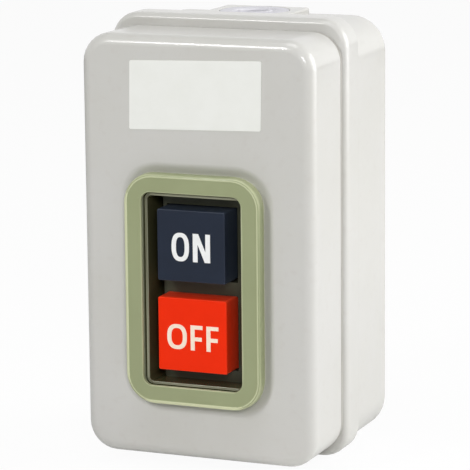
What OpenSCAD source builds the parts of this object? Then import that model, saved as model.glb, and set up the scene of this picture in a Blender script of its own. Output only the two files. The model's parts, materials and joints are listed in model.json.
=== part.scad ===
// Wall-mounted pushbutton starter in a two-part case.
// Frame: X to the right, Z up, Y into the wall. The origin is the centre of the back face, so the front is at -Y.

/* [Cover] */
// Width of the front cover
cover_w = 83; // [81:0.5:92]
// Height of the front cover
cover_h = 143; // [141:0.5:156]
// Depth of the front cover, from its face to its edge
cover_d = 27; // [23:0.2:32]
// Corner radius of the cover, seen from the front
cover_corner_r = 10; // [8:0.5:14]
// Rounding of the cover's front edges
cover_edge_r = 4; // [2.5:0.5:5]
// Wall thickness of the cover
cover_wall = 1.5; // [1.2:0.1:1.8]

/* [Rear case] */
// Depth of the rear body, from the wall to the rim
case_d = 31.4; // [30:0.2:40]
// Depth of the rim band
rim_d = 11.6; // [10.6:0.2:16]
// How far the rim stands out past the cover at each side
rim_side = 1.4; // [1.2:0.1:3]
// How far the rim stands out past the cover at the top
rim_top = 4; // [3.8:0.1:6]
// How far the rim stands out past the cover at the bottom
rim_bottom = 2.8; // [2.6:0.1:5]
// Corner radius of the rim
rim_corner_r = 9.5; // [8:0.5:12]
// Corner radius of the rear body
case_corner_r = 12; // [10:0.5:14]
// Rounding of the rear body's back edges
case_edge_r = 4.4; // [2.6:0.2:5]
// Wall thickness of the rear case
case_wall = 2.4; // [2:0.1:2.8]
// Gap between cover and rim that the gasket fills
seam_gap = 1; // [0.6:0.1:1.6]
// Distance from each wall screw hole to the inside of the case's end wall
wall_hole_inset = 8.1; // [7:0.1:9]
// Diameter of the wall screw holes
wall_hole_d = 5.5; // [4.5:0.1:6]

/* [Cable entries] */
// Width of the pad round each cable entry
entry_pad_w = 31; // [28:0.5:36]
// Length of the pad along the depth of the case
entry_pad_d = 26; // [25.4:0.2:27]
// Height of the pad above the case
entry_pad_h = 2.2; // [2:0.1:3]
// Diameter of the hole in the case
entry_hole_d = 20; // [16:0.5:21]
// Diameter of the cable hole in the rubber bushing
cable_hole_d = 9; // [6:0.5:12]

/* [Buttons and bezel] */
// Width and height of each square button
button_size = 24.8; // [22:0.1:25]
// Distance between the middles of the two buttons
button_pitch = 30.1; // [28.5:0.1:31]
// How far each button travels
button_travel = 5; // [4:0.1:5]
// Height of a button cap
cap_h = 14.5; // [13.5:0.1:15]
// Gap between the buttons and the bezel at the sides
well_gap_side = 5.3; // [4.6:0.1:6]
// Gap between the buttons and the bezel at top and bottom
well_gap_end = 5.55; // [5.35:0.05:6.2]
// How far the middle of the well lies below the middle of the cover
well_drop = 13; // [10:0.5:13.5]
// Width of the bezel's side borders
bezel_side = 7; // [6.8:0.1:9]
// Width of the bezel's top and bottom borders
bezel_end = 6.4; // [6.2:0.1:8]
// How far the bezel stands out from the cover
bezel_proud = 4.5; // [4:0.1:6]
// Outer corner radius of the bezel
bezel_corner_r = 10.5; // [8:0.1:10.8]
// Rounding of the bezel's outer front edges
bezel_edge_r = 1.2; // [0.6:0.1:1.6]
// Depth of the guide block's face behind the bezel's face
guide_drop = 9.5; // [8.5:0.1:10.5]

/* [Label] */
// Width of the label plate
label_w = 47; // [30:0.5:60]
// Height of the label plate
label_h = 23; // [15:0.5:24]
// Distance from the cover's top edge down to the label's middle
label_from_top = 19.3; // [17.5:0.1:21.5]

/* [Switch] */
// Gap between the switch base and the case at each side
base_side_gap = 5; // [4.5:0.1:6]
// Height of the switch base
base_h = 100; // [99:0.2:101]
// Thickness of the switch base
base_d = 20; // [19:0.2:21]
// Width of the ribs between the poles
rib_w = 3; // [2.4:0.1:4]
// Width of the base's outer edges
base_edge_w = 6.5; // [6.3:0.1:7.5]
// Thickness of the contact straps
strap_t = 1.6; // [1.2:0.1:2]
// Gap between a contact strap and its channel's sides
strap_gap = 2.6; // [2:0.1:2.9]
// Diameter of the contact tips
tip_d = 5; // [4:0.1:6]
// Diameter of the carrier's guide pins
pin_d = 3; // [2.5:0.1:3.2]
// Diameter of the plungers
plunger_d = 7; // [6:0.1:7.4]

/* [Hidden] */
$fn = 48;
// One overrun serves all cuts
overrun = 0.5;
// Radial clearance of a pin or rod that slides or turns in a bore
running_fit = 0.05;
// Radial clearance of a pin or screw that stays still in its bore
still_fit = 0.02;
// Gap between parts that move past each other
move_gap = 0.3;
// Radial clearance of a screw in a plain hole
screw_play = 0.2;

// Planes along the depth, from the wall to the front
y_rim_back = -case_d;
y_rim_front = y_rim_back - rim_d;
y_cover_edge = y_rim_front - seam_gap;
y_cover_front = y_cover_edge - cover_d;
y_bezel_front = y_cover_front - bezel_proud;
y_guide_front = y_bezel_front + guide_drop;
cap_sink = 0.5;
y_cap_front = y_bezel_front + cap_sink;

// Rear case outline: the body is set in from the rim
case_side_step = 0.5;
case_top_step = 3;
case_bottom_step = 0.8;
rim_edge_r = 1;
rim_w = cover_w + 2 * rim_side;
rim_h = cover_h + rim_top + rim_bottom;
rim_z = (rim_top - rim_bottom) / 2;
case_w = rim_w - 2 * case_side_step;
case_h = rim_h - case_top_step - case_bottom_step;
case_z = rim_z + (case_bottom_step - case_top_step) / 2;
case_in_w = case_w - 2 * case_wall;
case_in_h = case_h - 2 * case_wall;
case_in_top = case_z + case_in_h / 2;
case_in_bottom = case_z - case_in_h / 2;
wall_hole_pitch = case_in_h - 2 * wall_hole_inset;
cover_in_w = cover_w - 2 * cover_wall;
cover_in_h = cover_h - 2 * cover_wall;
cover_in_r = cover_corner_r - cover_wall;

// Locating lip that stands from the rim into the cover, and the ledge that carries it
lip_t = 1.2;
lip_h = 3;
ledge_d = 3;
lip_out_w = cover_in_w - 2 * move_gap;
lip_out_h = cover_in_h - 2 * move_gap;
lip_out_r = cover_in_r - move_gap;
ledge_in_w = lip_out_w - 2 * lip_t;
ledge_in_h = lip_out_h - 2 * lip_t;
ledge_in_r = lip_out_r - lip_t;
gasket_play = 0.1;
gasket_sink = 0.3;

// Cover fastening: a hook at the top and a screwed strip at the bottom
strip_t = 1.5;
strip_w = 24;
strip_play = 1;
strip_front_gap = 3.5;
hook_wall = 2.2;
hook_rise = 2.8;
hook_pocket_d = 5.4;
hook_pocket_roof = 0.6;
nut_size = 8;
nut_h = 3;
strip_past_nut = 5;
y_cover_screw = y_rim_back - rim_d / 2;
cover_screw_d = 4;
cover_screw_head_d = 7.6;
cover_screw_head_h = 1.3;
cover_screw_sink = 0.1;
y_strip_front = y_cover_front + cover_wall + strip_front_gap;
y_hook_front = y_rim_front + hook_wall + move_gap;
z_cover_in = cover_in_h / 2;
z_rim_bottom = rim_z - rim_h / 2;

// Cable entries
y_entry = -(case_d - case_edge_r) * 2 / 3;
entry_counter_d = entry_hole_d + 4.4;
entry_counter_h = 1.4;
bushing_flange_d = entry_hole_d + 5;
bushing_flange_h = 1.5;
entry_pad_r = 1.5;

// Button well
well_z = -well_drop;
opening_w = button_size + 2 * well_gap_side;
opening_h = button_pitch + button_size + 2 * well_gap_end;
opening_r = 2.2;
bezel_w = opening_w + 2 * bezel_side;
bezel_h = opening_h + 2 * bezel_end;
on_z = well_z + button_pitch / 2;
off_z = well_z - button_pitch / 2;
liner_play = 0.2;
liner_wall = 0.9;
liner_sink = 1.6;
liner_flange_t = 1;
liner_flange_w = 2;
liner_past_guide = 9;
liner_out_w = opening_w - 2 * liner_play;
liner_out_h = opening_h - 2 * liner_play;
liner_out_r = opening_r - liner_play;
liner_in_w = liner_out_w - 2 * liner_wall;
liner_in_h = liner_out_h - 2 * liner_wall;
liner_in_r = liner_out_r - liner_wall;
liner_flange_r = liner_out_r + liner_flange_w;
window_w = liner_out_w + 2 * move_gap;
window_h = liner_out_h + 2 * move_gap;
window_r = liner_out_r + move_gap;
retainer_t = 1.2;
retainer_in = 0.5;
bezel_screw_d = 2.4;
bezel_screw_bite = 3;
bezel_screw_head_d = 4.4;
bezel_screw_head_h = 1.6;
bezel_screw_x = bezel_w / 2 - (bezel_side - liner_flange_w) / 2;
bezel_screw_z = bezel_h / 2 - bezel_corner_r;

// Button caps and plungers
cap_wall = 1.8;
cap_corner_r = 1.2;
cap_edge_r = 0.7;
cap_boss_d = 11;
cap_boss_short = 1.5;
plunger_in_cap = 1.2;
y_cap_back = y_cap_front + cap_h;
y_boss_back = y_cap_back - cap_boss_short;
y_plunger_front = y_cap_front + cap_wall + plunger_in_cap;
nose_d = 3;
nose_h = 2.7;

// Switch base, its channels and the contacts in them
base_stand = 3.6;
base_w = case_in_w - 2 * base_side_gap;
channel_w = (base_w - 2 * base_edge_w - 2 * rib_w) / 3;
pole_pitch = channel_w + rib_w;
strap_w = channel_w - 2 * strap_gap;
base_z = -7;
y_base_back = -case_wall - base_stand;
y_base_front = y_base_back - base_d;
channel_depth = 10;
arc_pocket_h = 8;
arc_pocket_d = 4;
y_channel = y_base_front + channel_depth;
y_strap = y_channel - strap_t;
tip_h = 1.2;
tip_from_end = 4;
y_tip = y_strap - tip_h;
terminal_inset = 7;
strap_end_gap = 1;
terminal_z = [base_z + base_h / 2 - terminal_inset, base_z - base_h / 2 + terminal_inset];
terminal_d = 4;
terminal_bite = 8;
terminal_head_d = 7.6;
terminal_head_h = 2.6;
clamp_gap = 2.2;
clamp_size = channel_w - 2 * clamp_gap;
clamp_t = 1.2;
notch_w = base_edge_w;
notch_h = 9;
notch_floor = 8;
base_screw_x = base_w / 2 - notch_w / 2;
base_screw_z = base_h / 2 - notch_h / 2;
base_screw_d = 3.5;
base_screw_head_d = 6;
base_screw_head_h = 2.2;
base_screw_bite = 4.6;
case_post_d = 9;
pin_boss_d = pin_d + 3.2;

// Contact carrier and bridges
bridge_t = 1.5;
bridge_set_in = 1.1;
bridge_w = strap_w - 2 * bridge_set_in;
bridge_overhang = 3;
contact_gap = button_travel + move_gap;
y_bridge_tip = y_tip - contact_gap;
y_bridge_back = y_bridge_tip - tip_h;
y_bridge_front = y_bridge_back - bridge_t;
spring_room = 9.2;
yoke_bar_t = 2.4;
yoke_wall = 1.4;
yoke_gap = 0.4;
yoke_h = 7;
carrier_t = 5;
carrier_h = 18;
carrier_past_pole = 1;
carrier_head = 5;
y_carrier_back = y_bridge_front - spring_room;
y_carrier_front = y_carrier_back - carrier_t;
carrier_w = 2 * pole_pitch + bridge_w + 2 * (yoke_gap + yoke_wall + carrier_past_pole);
tip_z = arc_pocket_h / 2 + tip_from_end;
pin_x = pole_pitch / 2;
pin_in_base = 11;
pin_past_carrier = 3.5;

// Guide housing: a low skirt over the carrier, and the tower that the caps slide in
guide_wall = 1.3;
guide_end_wall = 4.05;
guide_plate_t = 2;
skirt_wall = 2.5;
skirt_past_tower = 1.4;
skirt_edge_r = 2;
y_plate_under = y_carrier_front - carrier_head;
y_skirt_front = y_plate_under - guide_plate_t;
shaft_size = button_size + 2 * move_gap;
tower_w = shaft_size + 2 * guide_wall;
tower_h = button_pitch + shaft_size + 2 * guide_end_wall;
skirt_w = base_w;
skirt_h = tower_h + 2 * skirt_past_tower;
housing_screw_d = 3;
housing_post_d = 7.4;
housing_screw_bite = 6;
housing_screw_head_d = 5.6;
housing_screw_head_h = 2;
housing_screw_x = base_w / 2 - housing_post_d / 2 - 0.2 * skirt_wall;
housing_screw_z = skirt_h / 2 - housing_post_d / 2 - 0.2 * skirt_wall;

// Latch lever: its pivot, and its outline as distances from the pivot
pivot_from_carrier = 7;
pivot_below_on = 20;
y_pivot = y_carrier_front + pivot_from_carrier;
z_pivot = on_z - pivot_below_on;
latch_pin_d = 3;
hub_d = 7;
hub_w = 9.4;
spool_d = 4.6;
cradle_w = 2;
cradle_h = 8;
cradle_past_pin = 2.7;
cradle_gap = 13.4;
arm_w = 6;
arm_t = 3.3;
arm_front = 4.3;
arm_length = 13;
hook_w = 7;
hook_t = 2.7;
hook_clear = 0.5;
hook_tip = pivot_below_on - carrier_h / 2 - hook_clear;
hook_tooth = 2;
hook_back = 0.6;
hook_front = 3.5;

// Return and contact springs, each one wire
cap_wire = 0.8;
cap_coil_r = 4.6;
cap_turns = 5;
carrier_wire = 0.6;
carrier_coil_r = 2.3;
carrier_turns = 5;
contact_wire = 0.7;
contact_coil_r = 2.4;
contact_turns = 5;
latch_wire = 0.5;
latch_coil_r = 2.9;
latch_turns = 2.5;
rings_per_turn = 8;
wire_sides = 6;

// Earth terminal on the rear case
earth_from_side = 11;
earth_x = earth_from_side - case_in_w / 2;
earth_z = (case_in_top + base_z + base_h / 2) / 2;
earth_post_h = 5;
earth_post_d = 8;
earth_screw_d = 4;
earth_head_d = 7.4;
earth_head_h = 2.4;
earth_clamp_t = 1;
earth_clamp_d = 8.4;

// Screw heads: cross slots
slot_w_share = 0.16;
slot_l_share = 0.62;
slot_d_share = 0.6;

label_t = 0.2;
label_rise = cover_h / 2 - label_from_top;
label_corner_r = 0.5;

POLES = [-1, 0, 1];
SIDES = [-1, 1];

// Rectangle with round corners, in the plane of the front
module round_rect(w, h, r) {
    square([w - 2 * r, h], center = true);
    square([w, h - 2 * r], center = true);
    for (x = SIDES, z = SIDES)
        translate([x * (w / 2 - r), z * (h / 2 - r)]) circle(r);
}

// Plate with round corners that fills the depth from y_front to y_back
module plate(w, h, r, y_front, y_back) {
    rotate([90, 0, 0]) translate([0, 0, -y_back]) linear_extrude(y_back - y_front) round_rect(w, h, r);
}

// Plain block given by its middle in X and Z, its size and its two planes in Y
module block(x, z, w, h, y_front, y_back) {
    translate([x - w / 2, y_front, z - h / 2]) cube([w, y_back - y_front, h]);
}

// Rod along the depth
module rod(x, z, d, y_front, y_back) {
    translate([x, y_front, z]) rotate([-90, 0, 0]) cylinder(d = d, h = y_back - y_front);
}

// Section of a soft block's border: r deep from the corner's middle, its outer front edge rounded by e
module border_section(r, e, d) {
    square([r, d - e]);
    square([r - e, d]);
    intersection() {
        translate([r - e, d - e]) circle(e);
        square([r, d]);
    }
}

// Block of depth d on the plane y = 0 towards -Y, round corners r, front edges rounded by e
module soft_block(w, h, r, e, d) {
    block(0, 0, w - 2 * r, h - 2 * r, -d, 0);
    for (x = SIDES)
        translate([x * (w / 2 - r), 0, -(h / 2 - r)]) mirror([x < 0 ? 1 : 0, 0, 0])
            linear_extrude(h - 2 * r) mirror([0, 1]) border_section(r, e, d);
    for (z = SIDES)
        translate([-(w / 2 - r), 0, z * (h / 2 - r)]) mirror([0, 0, z < 0 ? 1 : 0])
            rotate([90, 0, 90]) linear_extrude(w - 2 * r) mirror([1, 0]) rotate(90) mirror([0, 1])
                border_section(r, e, d);
    for (k = [0 : 3]) {
        sx = k == 0 || k == 3 ? 1 : -1;
        sz = k < 2 ? 1 : -1;
        translate([sx * (w / 2 - r), 0, sz * (h / 2 - r)]) rotate([90, 0, 0])
            rotate([0, 0, 90 * k]) rotate_extrude(angle = 90) border_section(r, e, d);
    }
}

// The same block between two planes, front at y_front
module soft_plate(w, h, r, e, y_front, y_back) {
    translate([0, y_back, 0]) soft_block(w, h, r, e, y_back - y_front);
}

// The same block with its rounded edges at the back
module back_soft_plate(w, h, r, e, y_front, y_back) {
    translate([0, y_front, 0]) mirror([0, 1, 0]) soft_block(w, h, r, e, y_back - y_front);
}

// Cross-slotted screw along the depth, its head on the plane y_seat, its shank going to +Y
module screw(d, length, head_d, head_h) {
    difference() {
        rotate([90, 0, 0]) cylinder(d = head_d, h = head_h);
        for (a = [0, 90])
            rotate([0, a, 0])
                block(0, 0, head_d * slot_l_share, head_d * slot_w_share,
                      -head_h - overrun, -head_h * (1 - slot_d_share));
    }
    rotate([-90, 0, 0]) cylinder(d = d, h = length);
}

// Points round a helix along the depth: radius r, from y_from to y_to, in the given number of turns
function helix(r, y_from, y_to, turns) = [
    for (i = [0 : turns * rings_per_turn])
        let (a = 360 * i / rings_per_turn, s = i / (turns * rings_per_turn))
        [r * cos(a), y_from + (y_to - y_from) * s, r * sin(a)]
];

// Least gap between a helix and its next turn
function helix_gap(points, wire) = min([
    for (i = [0 : len(points) - 1 - rings_per_turn]) norm(points[i] - points[i + rings_per_turn]) - wire
]);

// One round wire through the points of a helix, closed at both ends
module wire_coil(r, wire, y_from, y_to, turns) {
    points = helix(r, y_from + wire / 2, y_to - wire / 2, turns);
    count = len(points);
    echo("least gap of the coil", helix_gap(points, wire));
    rings = [
        for (i = [0 : count - 1])
            let (p = points[i], out = [p[0], 0, p[2]] / r)
            for (k = [0 : wire_sides - 1])
                let (b = 360 * k / wire_sides)
                p + wire / 2 * (cos(b) * out + sin(b) * [0, 1, 0])
    ];
    sides = [
        for (i = [0 : count - 2], k = [0 : wire_sides - 1])
            let (n = (k + 1) % wire_sides, a = i * wire_sides, b = (i + 1) * wire_sides)
            each [[a + k, a + n, b + n], [a + k, b + n, b + k]]
    ];
    last = (count - 1) * wire_sides;
    ends = [
        for (k = [1 : wire_sides - 2])
            each [[0, k + 1, k], [last, last + k, last + k + 1]]
    ];
    polyhedron(rings, concat(sides, ends));
}

// Painted front shell with the window for the button well
module front_cover() {
    color("#cfccc9") difference() {
        soft_plate(cover_w, cover_h, cover_corner_r, cover_edge_r, y_cover_front, y_cover_edge);
        soft_plate(cover_in_w, cover_in_h, cover_in_r, cover_edge_r - cover_wall,
                   y_cover_front + cover_wall, y_cover_edge + overrun);
        translate([0, 0, well_z]) {
            plate(window_w, window_h, window_r, y_cover_front - overrun, y_cover_front + cover_wall + overrun);
            bezel_screw_holes(y_cover_front - overrun, y_cover_front + cover_wall + overrun, screw_play);
        }
    }
}

// Holes for the four bezel screws, with the given radial clearance
module bezel_screw_holes(y_front, y_back, play) {
    for (x = SIDES, z = SIDES)
        rod(x * bezel_screw_x, z * bezel_screw_z, bezel_screw_d + 2 * play, y_front, y_back);
}

// Painted rear shell: body, rim band, locating lip, cable entries, posts and wall holes
module rear_case() {
    color("#d2d0cc") difference() {
        union() {
            difference() {
                union() {
                    translate([0, 0, case_z])
                        back_soft_plate(case_w, case_h, case_corner_r, case_edge_r, y_rim_back, 0);
                    translate([0, 0, rim_z])
                        soft_plate(rim_w, rim_h, rim_corner_r, rim_edge_r, y_rim_front, y_rim_back);
                    entry_pads();
                }
                translate([0, 0, case_z])
                    plate(case_in_w, case_in_h, case_corner_r - case_wall,
                          y_rim_front + ledge_d, -case_wall);
                plate(ledge_in_w, ledge_in_h, ledge_in_r, y_rim_front - overrun, y_rim_front + ledge_d + overrun);
            }
            difference() {
                plate(lip_out_w, lip_out_h, lip_out_r, y_rim_front - lip_h, y_rim_front + ledge_d / 2);
                plate(ledge_in_w, ledge_in_h, ledge_in_r, y_rim_front - lip_h - overrun, y_rim_front + ledge_d);
            }
            for (x = SIDES, z = SIDES)
                rod(x * base_screw_x, base_z + z * base_screw_z, case_post_d, y_base_back, -case_wall / 2);
            rod(earth_x, earth_z, earth_post_d, -case_wall - earth_post_h, -case_wall / 2);
        }
        for (z = SIDES)
            rod(0, z * wall_hole_pitch / 2, wall_hole_d, -case_wall - overrun, overrun);
        for (x = SIDES, z = SIDES)
            rod(x * base_screw_x, base_z + z * base_screw_z, base_screw_d + 2 * still_fit,
                y_base_back - overrun, y_base_back + base_screw_bite + overrun);
        rod(earth_x, earth_z, earth_screw_d + 2 * still_fit,
            -case_wall - earth_post_h - overrun, -case_wall / 2);
        entry_holes();
        hook_pocket();
        latch_notch();
        translate([0, y_cover_screw, z_rim_bottom - overrun]) {
            cylinder(d = cover_screw_d + 2 * screw_play, h = case_in_bottom - z_rim_bottom + 2 * overrun);
            cylinder(d = cover_screw_head_d + 2 * screw_play,
                     h = cover_screw_head_h + cover_screw_sink + overrun);
        }
    }
}

// Raised pads on the top and bottom of the rear body
module entry_pads() {
    pad_in = case_wall / 2;
    for (s = SIDES)
        translate([0, y_entry, case_z + s * (case_h / 2 - pad_in)]) mirror([0, 0, s < 0 ? 1 : 0])
            linear_extrude(entry_pad_h + pad_in) round_rect(entry_pad_w, entry_pad_d, entry_pad_r);
}

// Bored cable entries with a counterbore for the bushing's outer flange
module entry_holes() {
    for (s = SIDES)
        translate([0, y_entry, case_z + s * (case_h / 2 + entry_pad_h)]) mirror([0, 0, s < 0 ? 1 : 0]) {
            translate([0, 0, -entry_pad_h - case_wall - overrun])
                cylinder(d = entry_hole_d, h = entry_pad_h + case_wall + 2 * overrun);
            translate([0, 0, -entry_counter_h]) cylinder(d = entry_counter_d, h = entry_counter_h + overrun);
        }
}

// Room behind the rim for the cover's hook, and the way in for its strip
module hook_pocket() {
    w = strip_w + 2 * strip_play;
    z_low = z_cover_in - strip_t - strip_play;
    z_roof = z_cover_in + hook_rise + hook_pocket_roof;
    y_pocket = y_rim_front + hook_wall;
    translate([-w / 2, y_rim_front - lip_h - overrun, z_low])
        cube([w, lip_h + ledge_d + 2 * overrun, z_cover_in + move_gap / 2 - z_low]);
    translate([-w / 2, y_pocket, z_low]) cube([w, hook_pocket_d, z_roof - z_low]);
}

// Way in for the bottom strip
module latch_notch() {
    w = strip_w + 2 * strip_play;
    h = strip_t + strip_play - z_cover_in - case_in_bottom;
    translate([-w / 2, y_rim_front - lip_h - overrun, case_in_bottom])
        cube([w, lip_h + ledge_d + 2 * overrun, h]);
}

// Seal ring between cover and rim, notched where the two strips pass
module case_gasket() {
    w = cover_w - 2 * gasket_sink;
    h = cover_h - 2 * gasket_sink;
    color("#8f8e8a") difference() {
        plate(w, h, cover_corner_r - gasket_sink, y_cover_edge, y_rim_front);
        plate(lip_out_w + 2 * gasket_play, lip_out_h + 2 * gasket_play, lip_out_r + gasket_play,
              y_cover_edge - overrun, y_rim_front + overrun);
        block(0, 0, strip_w + 2 * strip_play, cover_in_h + 2 * gasket_play,
              y_cover_edge - overrun, y_rim_front + overrun);
    }
}

// Bare label on the cover's face
module label_plate() {
    color("#f4f5f1") translate([0, 0, label_rise])
        plate(label_w, label_h, label_corner_r, y_cover_front - label_t, y_cover_front);
}

// Strip in the top of the cover, its end turned up behind the rim's wall
module cover_hook() {
    z_low = z_cover_in - strip_t;
    color("#a9abad") {
        translate([-strip_w / 2, y_strip_front, z_low])
            cube([strip_w, y_hook_front + strip_t - y_strip_front, strip_t]);
        translate([-strip_w / 2, y_hook_front, z_low]) cube([strip_w, strip_t, strip_t + hook_rise]);
    }
}

// Strip in the bottom of the cover, with a welded nut for the cover screw
module cover_latch() {
    y_end = y_cover_screw + strip_past_nut;
    color("#a9abad") difference() {
        union() {
            translate([-strip_w / 2, y_strip_front, -z_cover_in]) cube([strip_w, y_end - y_strip_front, strip_t]);
            translate([0, y_cover_screw, -z_cover_in + strip_t])
                linear_extrude(nut_h) square(nut_size, center = true);
        }
        translate([0, y_cover_screw, -z_cover_in - overrun])
            cylinder(d = cover_screw_d + 2 * still_fit, h = strip_t + nut_h + 2 * overrun);
    }
}

// Screw that closes the cover, from below
module cover_screw() {
    head_z = z_rim_bottom + cover_screw_sink + cover_screw_head_h;
    length = -z_cover_in + strip_t + nut_h - head_z;
    color("#c9cac8") translate([0, y_cover_screw, head_z]) rotate([90, 0, 0])
        screw(cover_screw_d, length, cover_screw_head_d, cover_screw_head_h);
}

// Moulded frame round the buttons
module bezel() {
    color("#9fa781") translate([0, 0, well_z]) difference() {
        soft_plate(bezel_w, bezel_h, bezel_corner_r, bezel_edge_r, y_bezel_front, y_cover_front);
        plate(opening_w, opening_h, opening_r, y_bezel_front - overrun, y_cover_front + overrun);
        plate(liner_out_w + 2 * liner_flange_w + 2 * move_gap, liner_out_h + 2 * liner_flange_w + 2 * move_gap,
              liner_flange_r + move_gap, y_cover_front - liner_flange_t, y_cover_front + overrun);
        bezel_screw_holes(y_cover_front - bezel_screw_bite - move_gap, y_cover_front + overrun, still_fit);
    }
}

// Collar that lines the button well: its lip shows inside the bezel, its flange is clamped behind it
module well_liner() {
    y_lip = y_bezel_front + liner_sink;
    y_end = y_guide_front + liner_past_guide;
    color("#7d8560") translate([0, 0, well_z]) difference() {
        union() {
            plate(liner_out_w + 2 * liner_flange_w, liner_out_h + 2 * liner_flange_w, liner_flange_r,
                  y_cover_front - liner_flange_t, y_cover_front);
            plate(liner_out_w, liner_out_h, liner_out_r, y_lip, y_end);
        }
        plate(liner_in_w, liner_in_h, liner_in_r, y_lip - overrun, y_end + overrun);
    }
}

// Steel frame behind the cover's sheet
module bezel_retainer() {
    y_front = y_cover_front + cover_wall;
    color("#b3b5b6") translate([0, 0, well_z]) difference() {
        plate(bezel_w - 2 * retainer_in, bezel_h - 2 * retainer_in, bezel_corner_r - retainer_in,
              y_front, y_front + retainer_t);
        plate(window_w, window_h, window_r, y_front - overrun, y_front + retainer_t + overrun);
        bezel_screw_holes(y_front - overrun, y_front + retainer_t + overrun, screw_play);
    }
}

// Four screws from inside, through retainer and cover into the bezel
module bezel_screws() {
    length = retainer_t + cover_wall + bezel_screw_bite;
    color("#c4c5c3") for (x = SIDES, z = SIDES)
        translate([x * bezel_screw_x, y_cover_front + cover_wall + retainer_t, well_z + z * bezel_screw_z])
            rotate([0, 0, 180]) screw(bezel_screw_d, length, bezel_screw_head_d, bezel_screw_head_h);
}

// Guide block: tower with two square shafts on a skirt that covers the carrier
module guide_housing() {
    color("#a3a998") translate([0, 0, well_z]) difference() {
        union() {
            plate(tower_w, tower_h, skirt_edge_r / 2, y_guide_front, y_skirt_front + guide_plate_t / 2);
            difference() {
                plate(skirt_w, skirt_h, skirt_edge_r, y_skirt_front, y_base_front);
                block(0, 0, skirt_w - 2 * skirt_wall, skirt_h - 2 * skirt_wall,
                      y_plate_under, y_base_front + overrun);
            }
            for (x = SIDES, z = SIDES)
                rod(x * housing_screw_x, z * housing_screw_z, housing_post_d, y_skirt_front + guide_plate_t / 2,
                    y_base_front);
            for (x = SIDES)
                block(x * (cradle_gap + cradle_w) / 2, z_pivot - well_z, cradle_w, cradle_h,
                      y_skirt_front + guide_plate_t / 2, y_pivot + cradle_past_pin);
        }
        for (z = SIDES) {
            block(0, z * button_pitch / 2, shaft_size, shaft_size, y_guide_front - overrun, y_skirt_front);
            rod(0, z * button_pitch / 2, plunger_d + 2 * running_fit, y_skirt_front - overrun,
                y_plate_under + overrun);
        }
        for (x = SIDES, z = SIDES)
            rod(x * housing_screw_x, z * housing_screw_z, housing_screw_d + 2 * screw_play,
                y_skirt_front - overrun, y_base_front + overrun);
        translate([-cradle_gap / 2 - cradle_w - overrun, y_pivot, z_pivot - well_z]) rotate([0, 90, 0])
            cylinder(d = latch_pin_d + 2 * still_fit, h = cradle_gap + 2 * cradle_w + 2 * overrun);
    }
}

// Four screws that hold the housing on the base
module housing_screws() {
    length = y_base_front - y_skirt_front + housing_screw_bite;
    color("#c4c5c3") for (x = SIDES, z = SIDES)
        translate([x * housing_screw_x, y_skirt_front, well_z + z * housing_screw_z])
            screw(housing_screw_d, length, housing_screw_head_d, housing_screw_head_h);
}

// Hollow square cap with a boss for its plunger
module cap(z) {
    translate([0, 0, z]) difference() {
        union() {
            difference() {
                soft_plate(button_size, button_size, cap_corner_r, cap_edge_r, y_cap_front, y_cap_back);
                block(0, 0, button_size - 2 * cap_wall, button_size - 2 * cap_wall,
                      y_cap_front + cap_wall, y_cap_back + overrun);
            }
            rod(0, 0, cap_boss_d, y_cap_front + cap_wall / 2, y_boss_back);
        }
        rod(0, 0, plunger_d + 2 * still_fit, y_plunger_front, y_boss_back + overrun);
    }
}

module on_button() {
    color("#2c333f") cap(on_z);
}

module off_button() {
    color("#ea3a1c") cap(off_z);
}

// Rod from the cap to the carrier
module on_plunger() {
    color("#e9e6dc") rod(0, on_z, plunger_d, y_plunger_front, y_carrier_front - move_gap);
}

// Rod from the cap to the latch lever, with a thin nose that tips the lever
module off_plunger() {
    y_end = y_pivot - arm_front - move_gap;
    color("#e9e6dc") {
        rod(0, off_z, plunger_d, y_plunger_front, y_end - nose_h);
        rod(0, off_z, nose_d, y_end - nose_h - overrun, y_end);
    }
}

// Cap return springs, between the housing's plate and the cap's boss
module on_spring() {
    color("#8d9196") translate([0, 0, on_z])
        wire_coil(cap_coil_r, cap_wire, y_boss_back, y_skirt_front, cap_turns);
}

module off_spring() {
    color("#8d9196") translate([0, 0, off_z])
        wire_coil(cap_coil_r, cap_wire, y_boss_back, y_skirt_front, cap_turns);
}

// Insulating base with three pole channels, notched corners and bosses for the guide pins
module switch_base() {
    color("#3a3129") difference() {
        union() {
            difference() {
                block(0, base_z, base_w, base_h, y_base_front, y_base_back);
                for (i = POLES) {
                    block(i * pole_pitch, base_z, channel_w, base_h + 2 * overrun, y_base_front - overrun,
                          y_channel);
                    block(i * pole_pitch, on_z, channel_w, arc_pocket_h, y_channel - overrun,
                          y_channel + arc_pocket_d);
                }
                for (x = SIDES, z = SIDES)
                    translate([x * (base_w / 2 - notch_w / 2 + overrun / 2), 0,
                               base_z + z * (base_h / 2 - notch_h / 2 + overrun / 2)])
                        block(0, 0, notch_w + overrun, notch_h + overrun, y_base_front - overrun,
                              y_base_back - notch_floor);
            }
            for (x = SIDES)
                rod(x * pin_x, on_z, pin_boss_d, y_base_front, y_channel + arc_pocket_d + overrun);
        }
        for (x = SIDES)
            rod(x * pin_x, on_z, pin_d + 2 * still_fit, y_base_front - overrun, y_base_front + pin_in_base);
        for (x = SIDES, z = SIDES) {
            rod(x * base_screw_x, base_z + z * base_screw_z, base_screw_d + 2 * screw_play,
                y_base_back - notch_floor - overrun, y_base_back + overrun);
            rod(x * housing_screw_x, well_z + z * housing_screw_z, housing_screw_d + 2 * still_fit,
                y_base_front - overrun, y_base_front + housing_screw_bite + overrun);
        }
        for (i = POLES, z = terminal_z)
            rod(i * pole_pitch, z, terminal_d + 2 * still_fit, y_channel - overrun,
                y_channel + terminal_bite - strap_t);
    }
}

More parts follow.
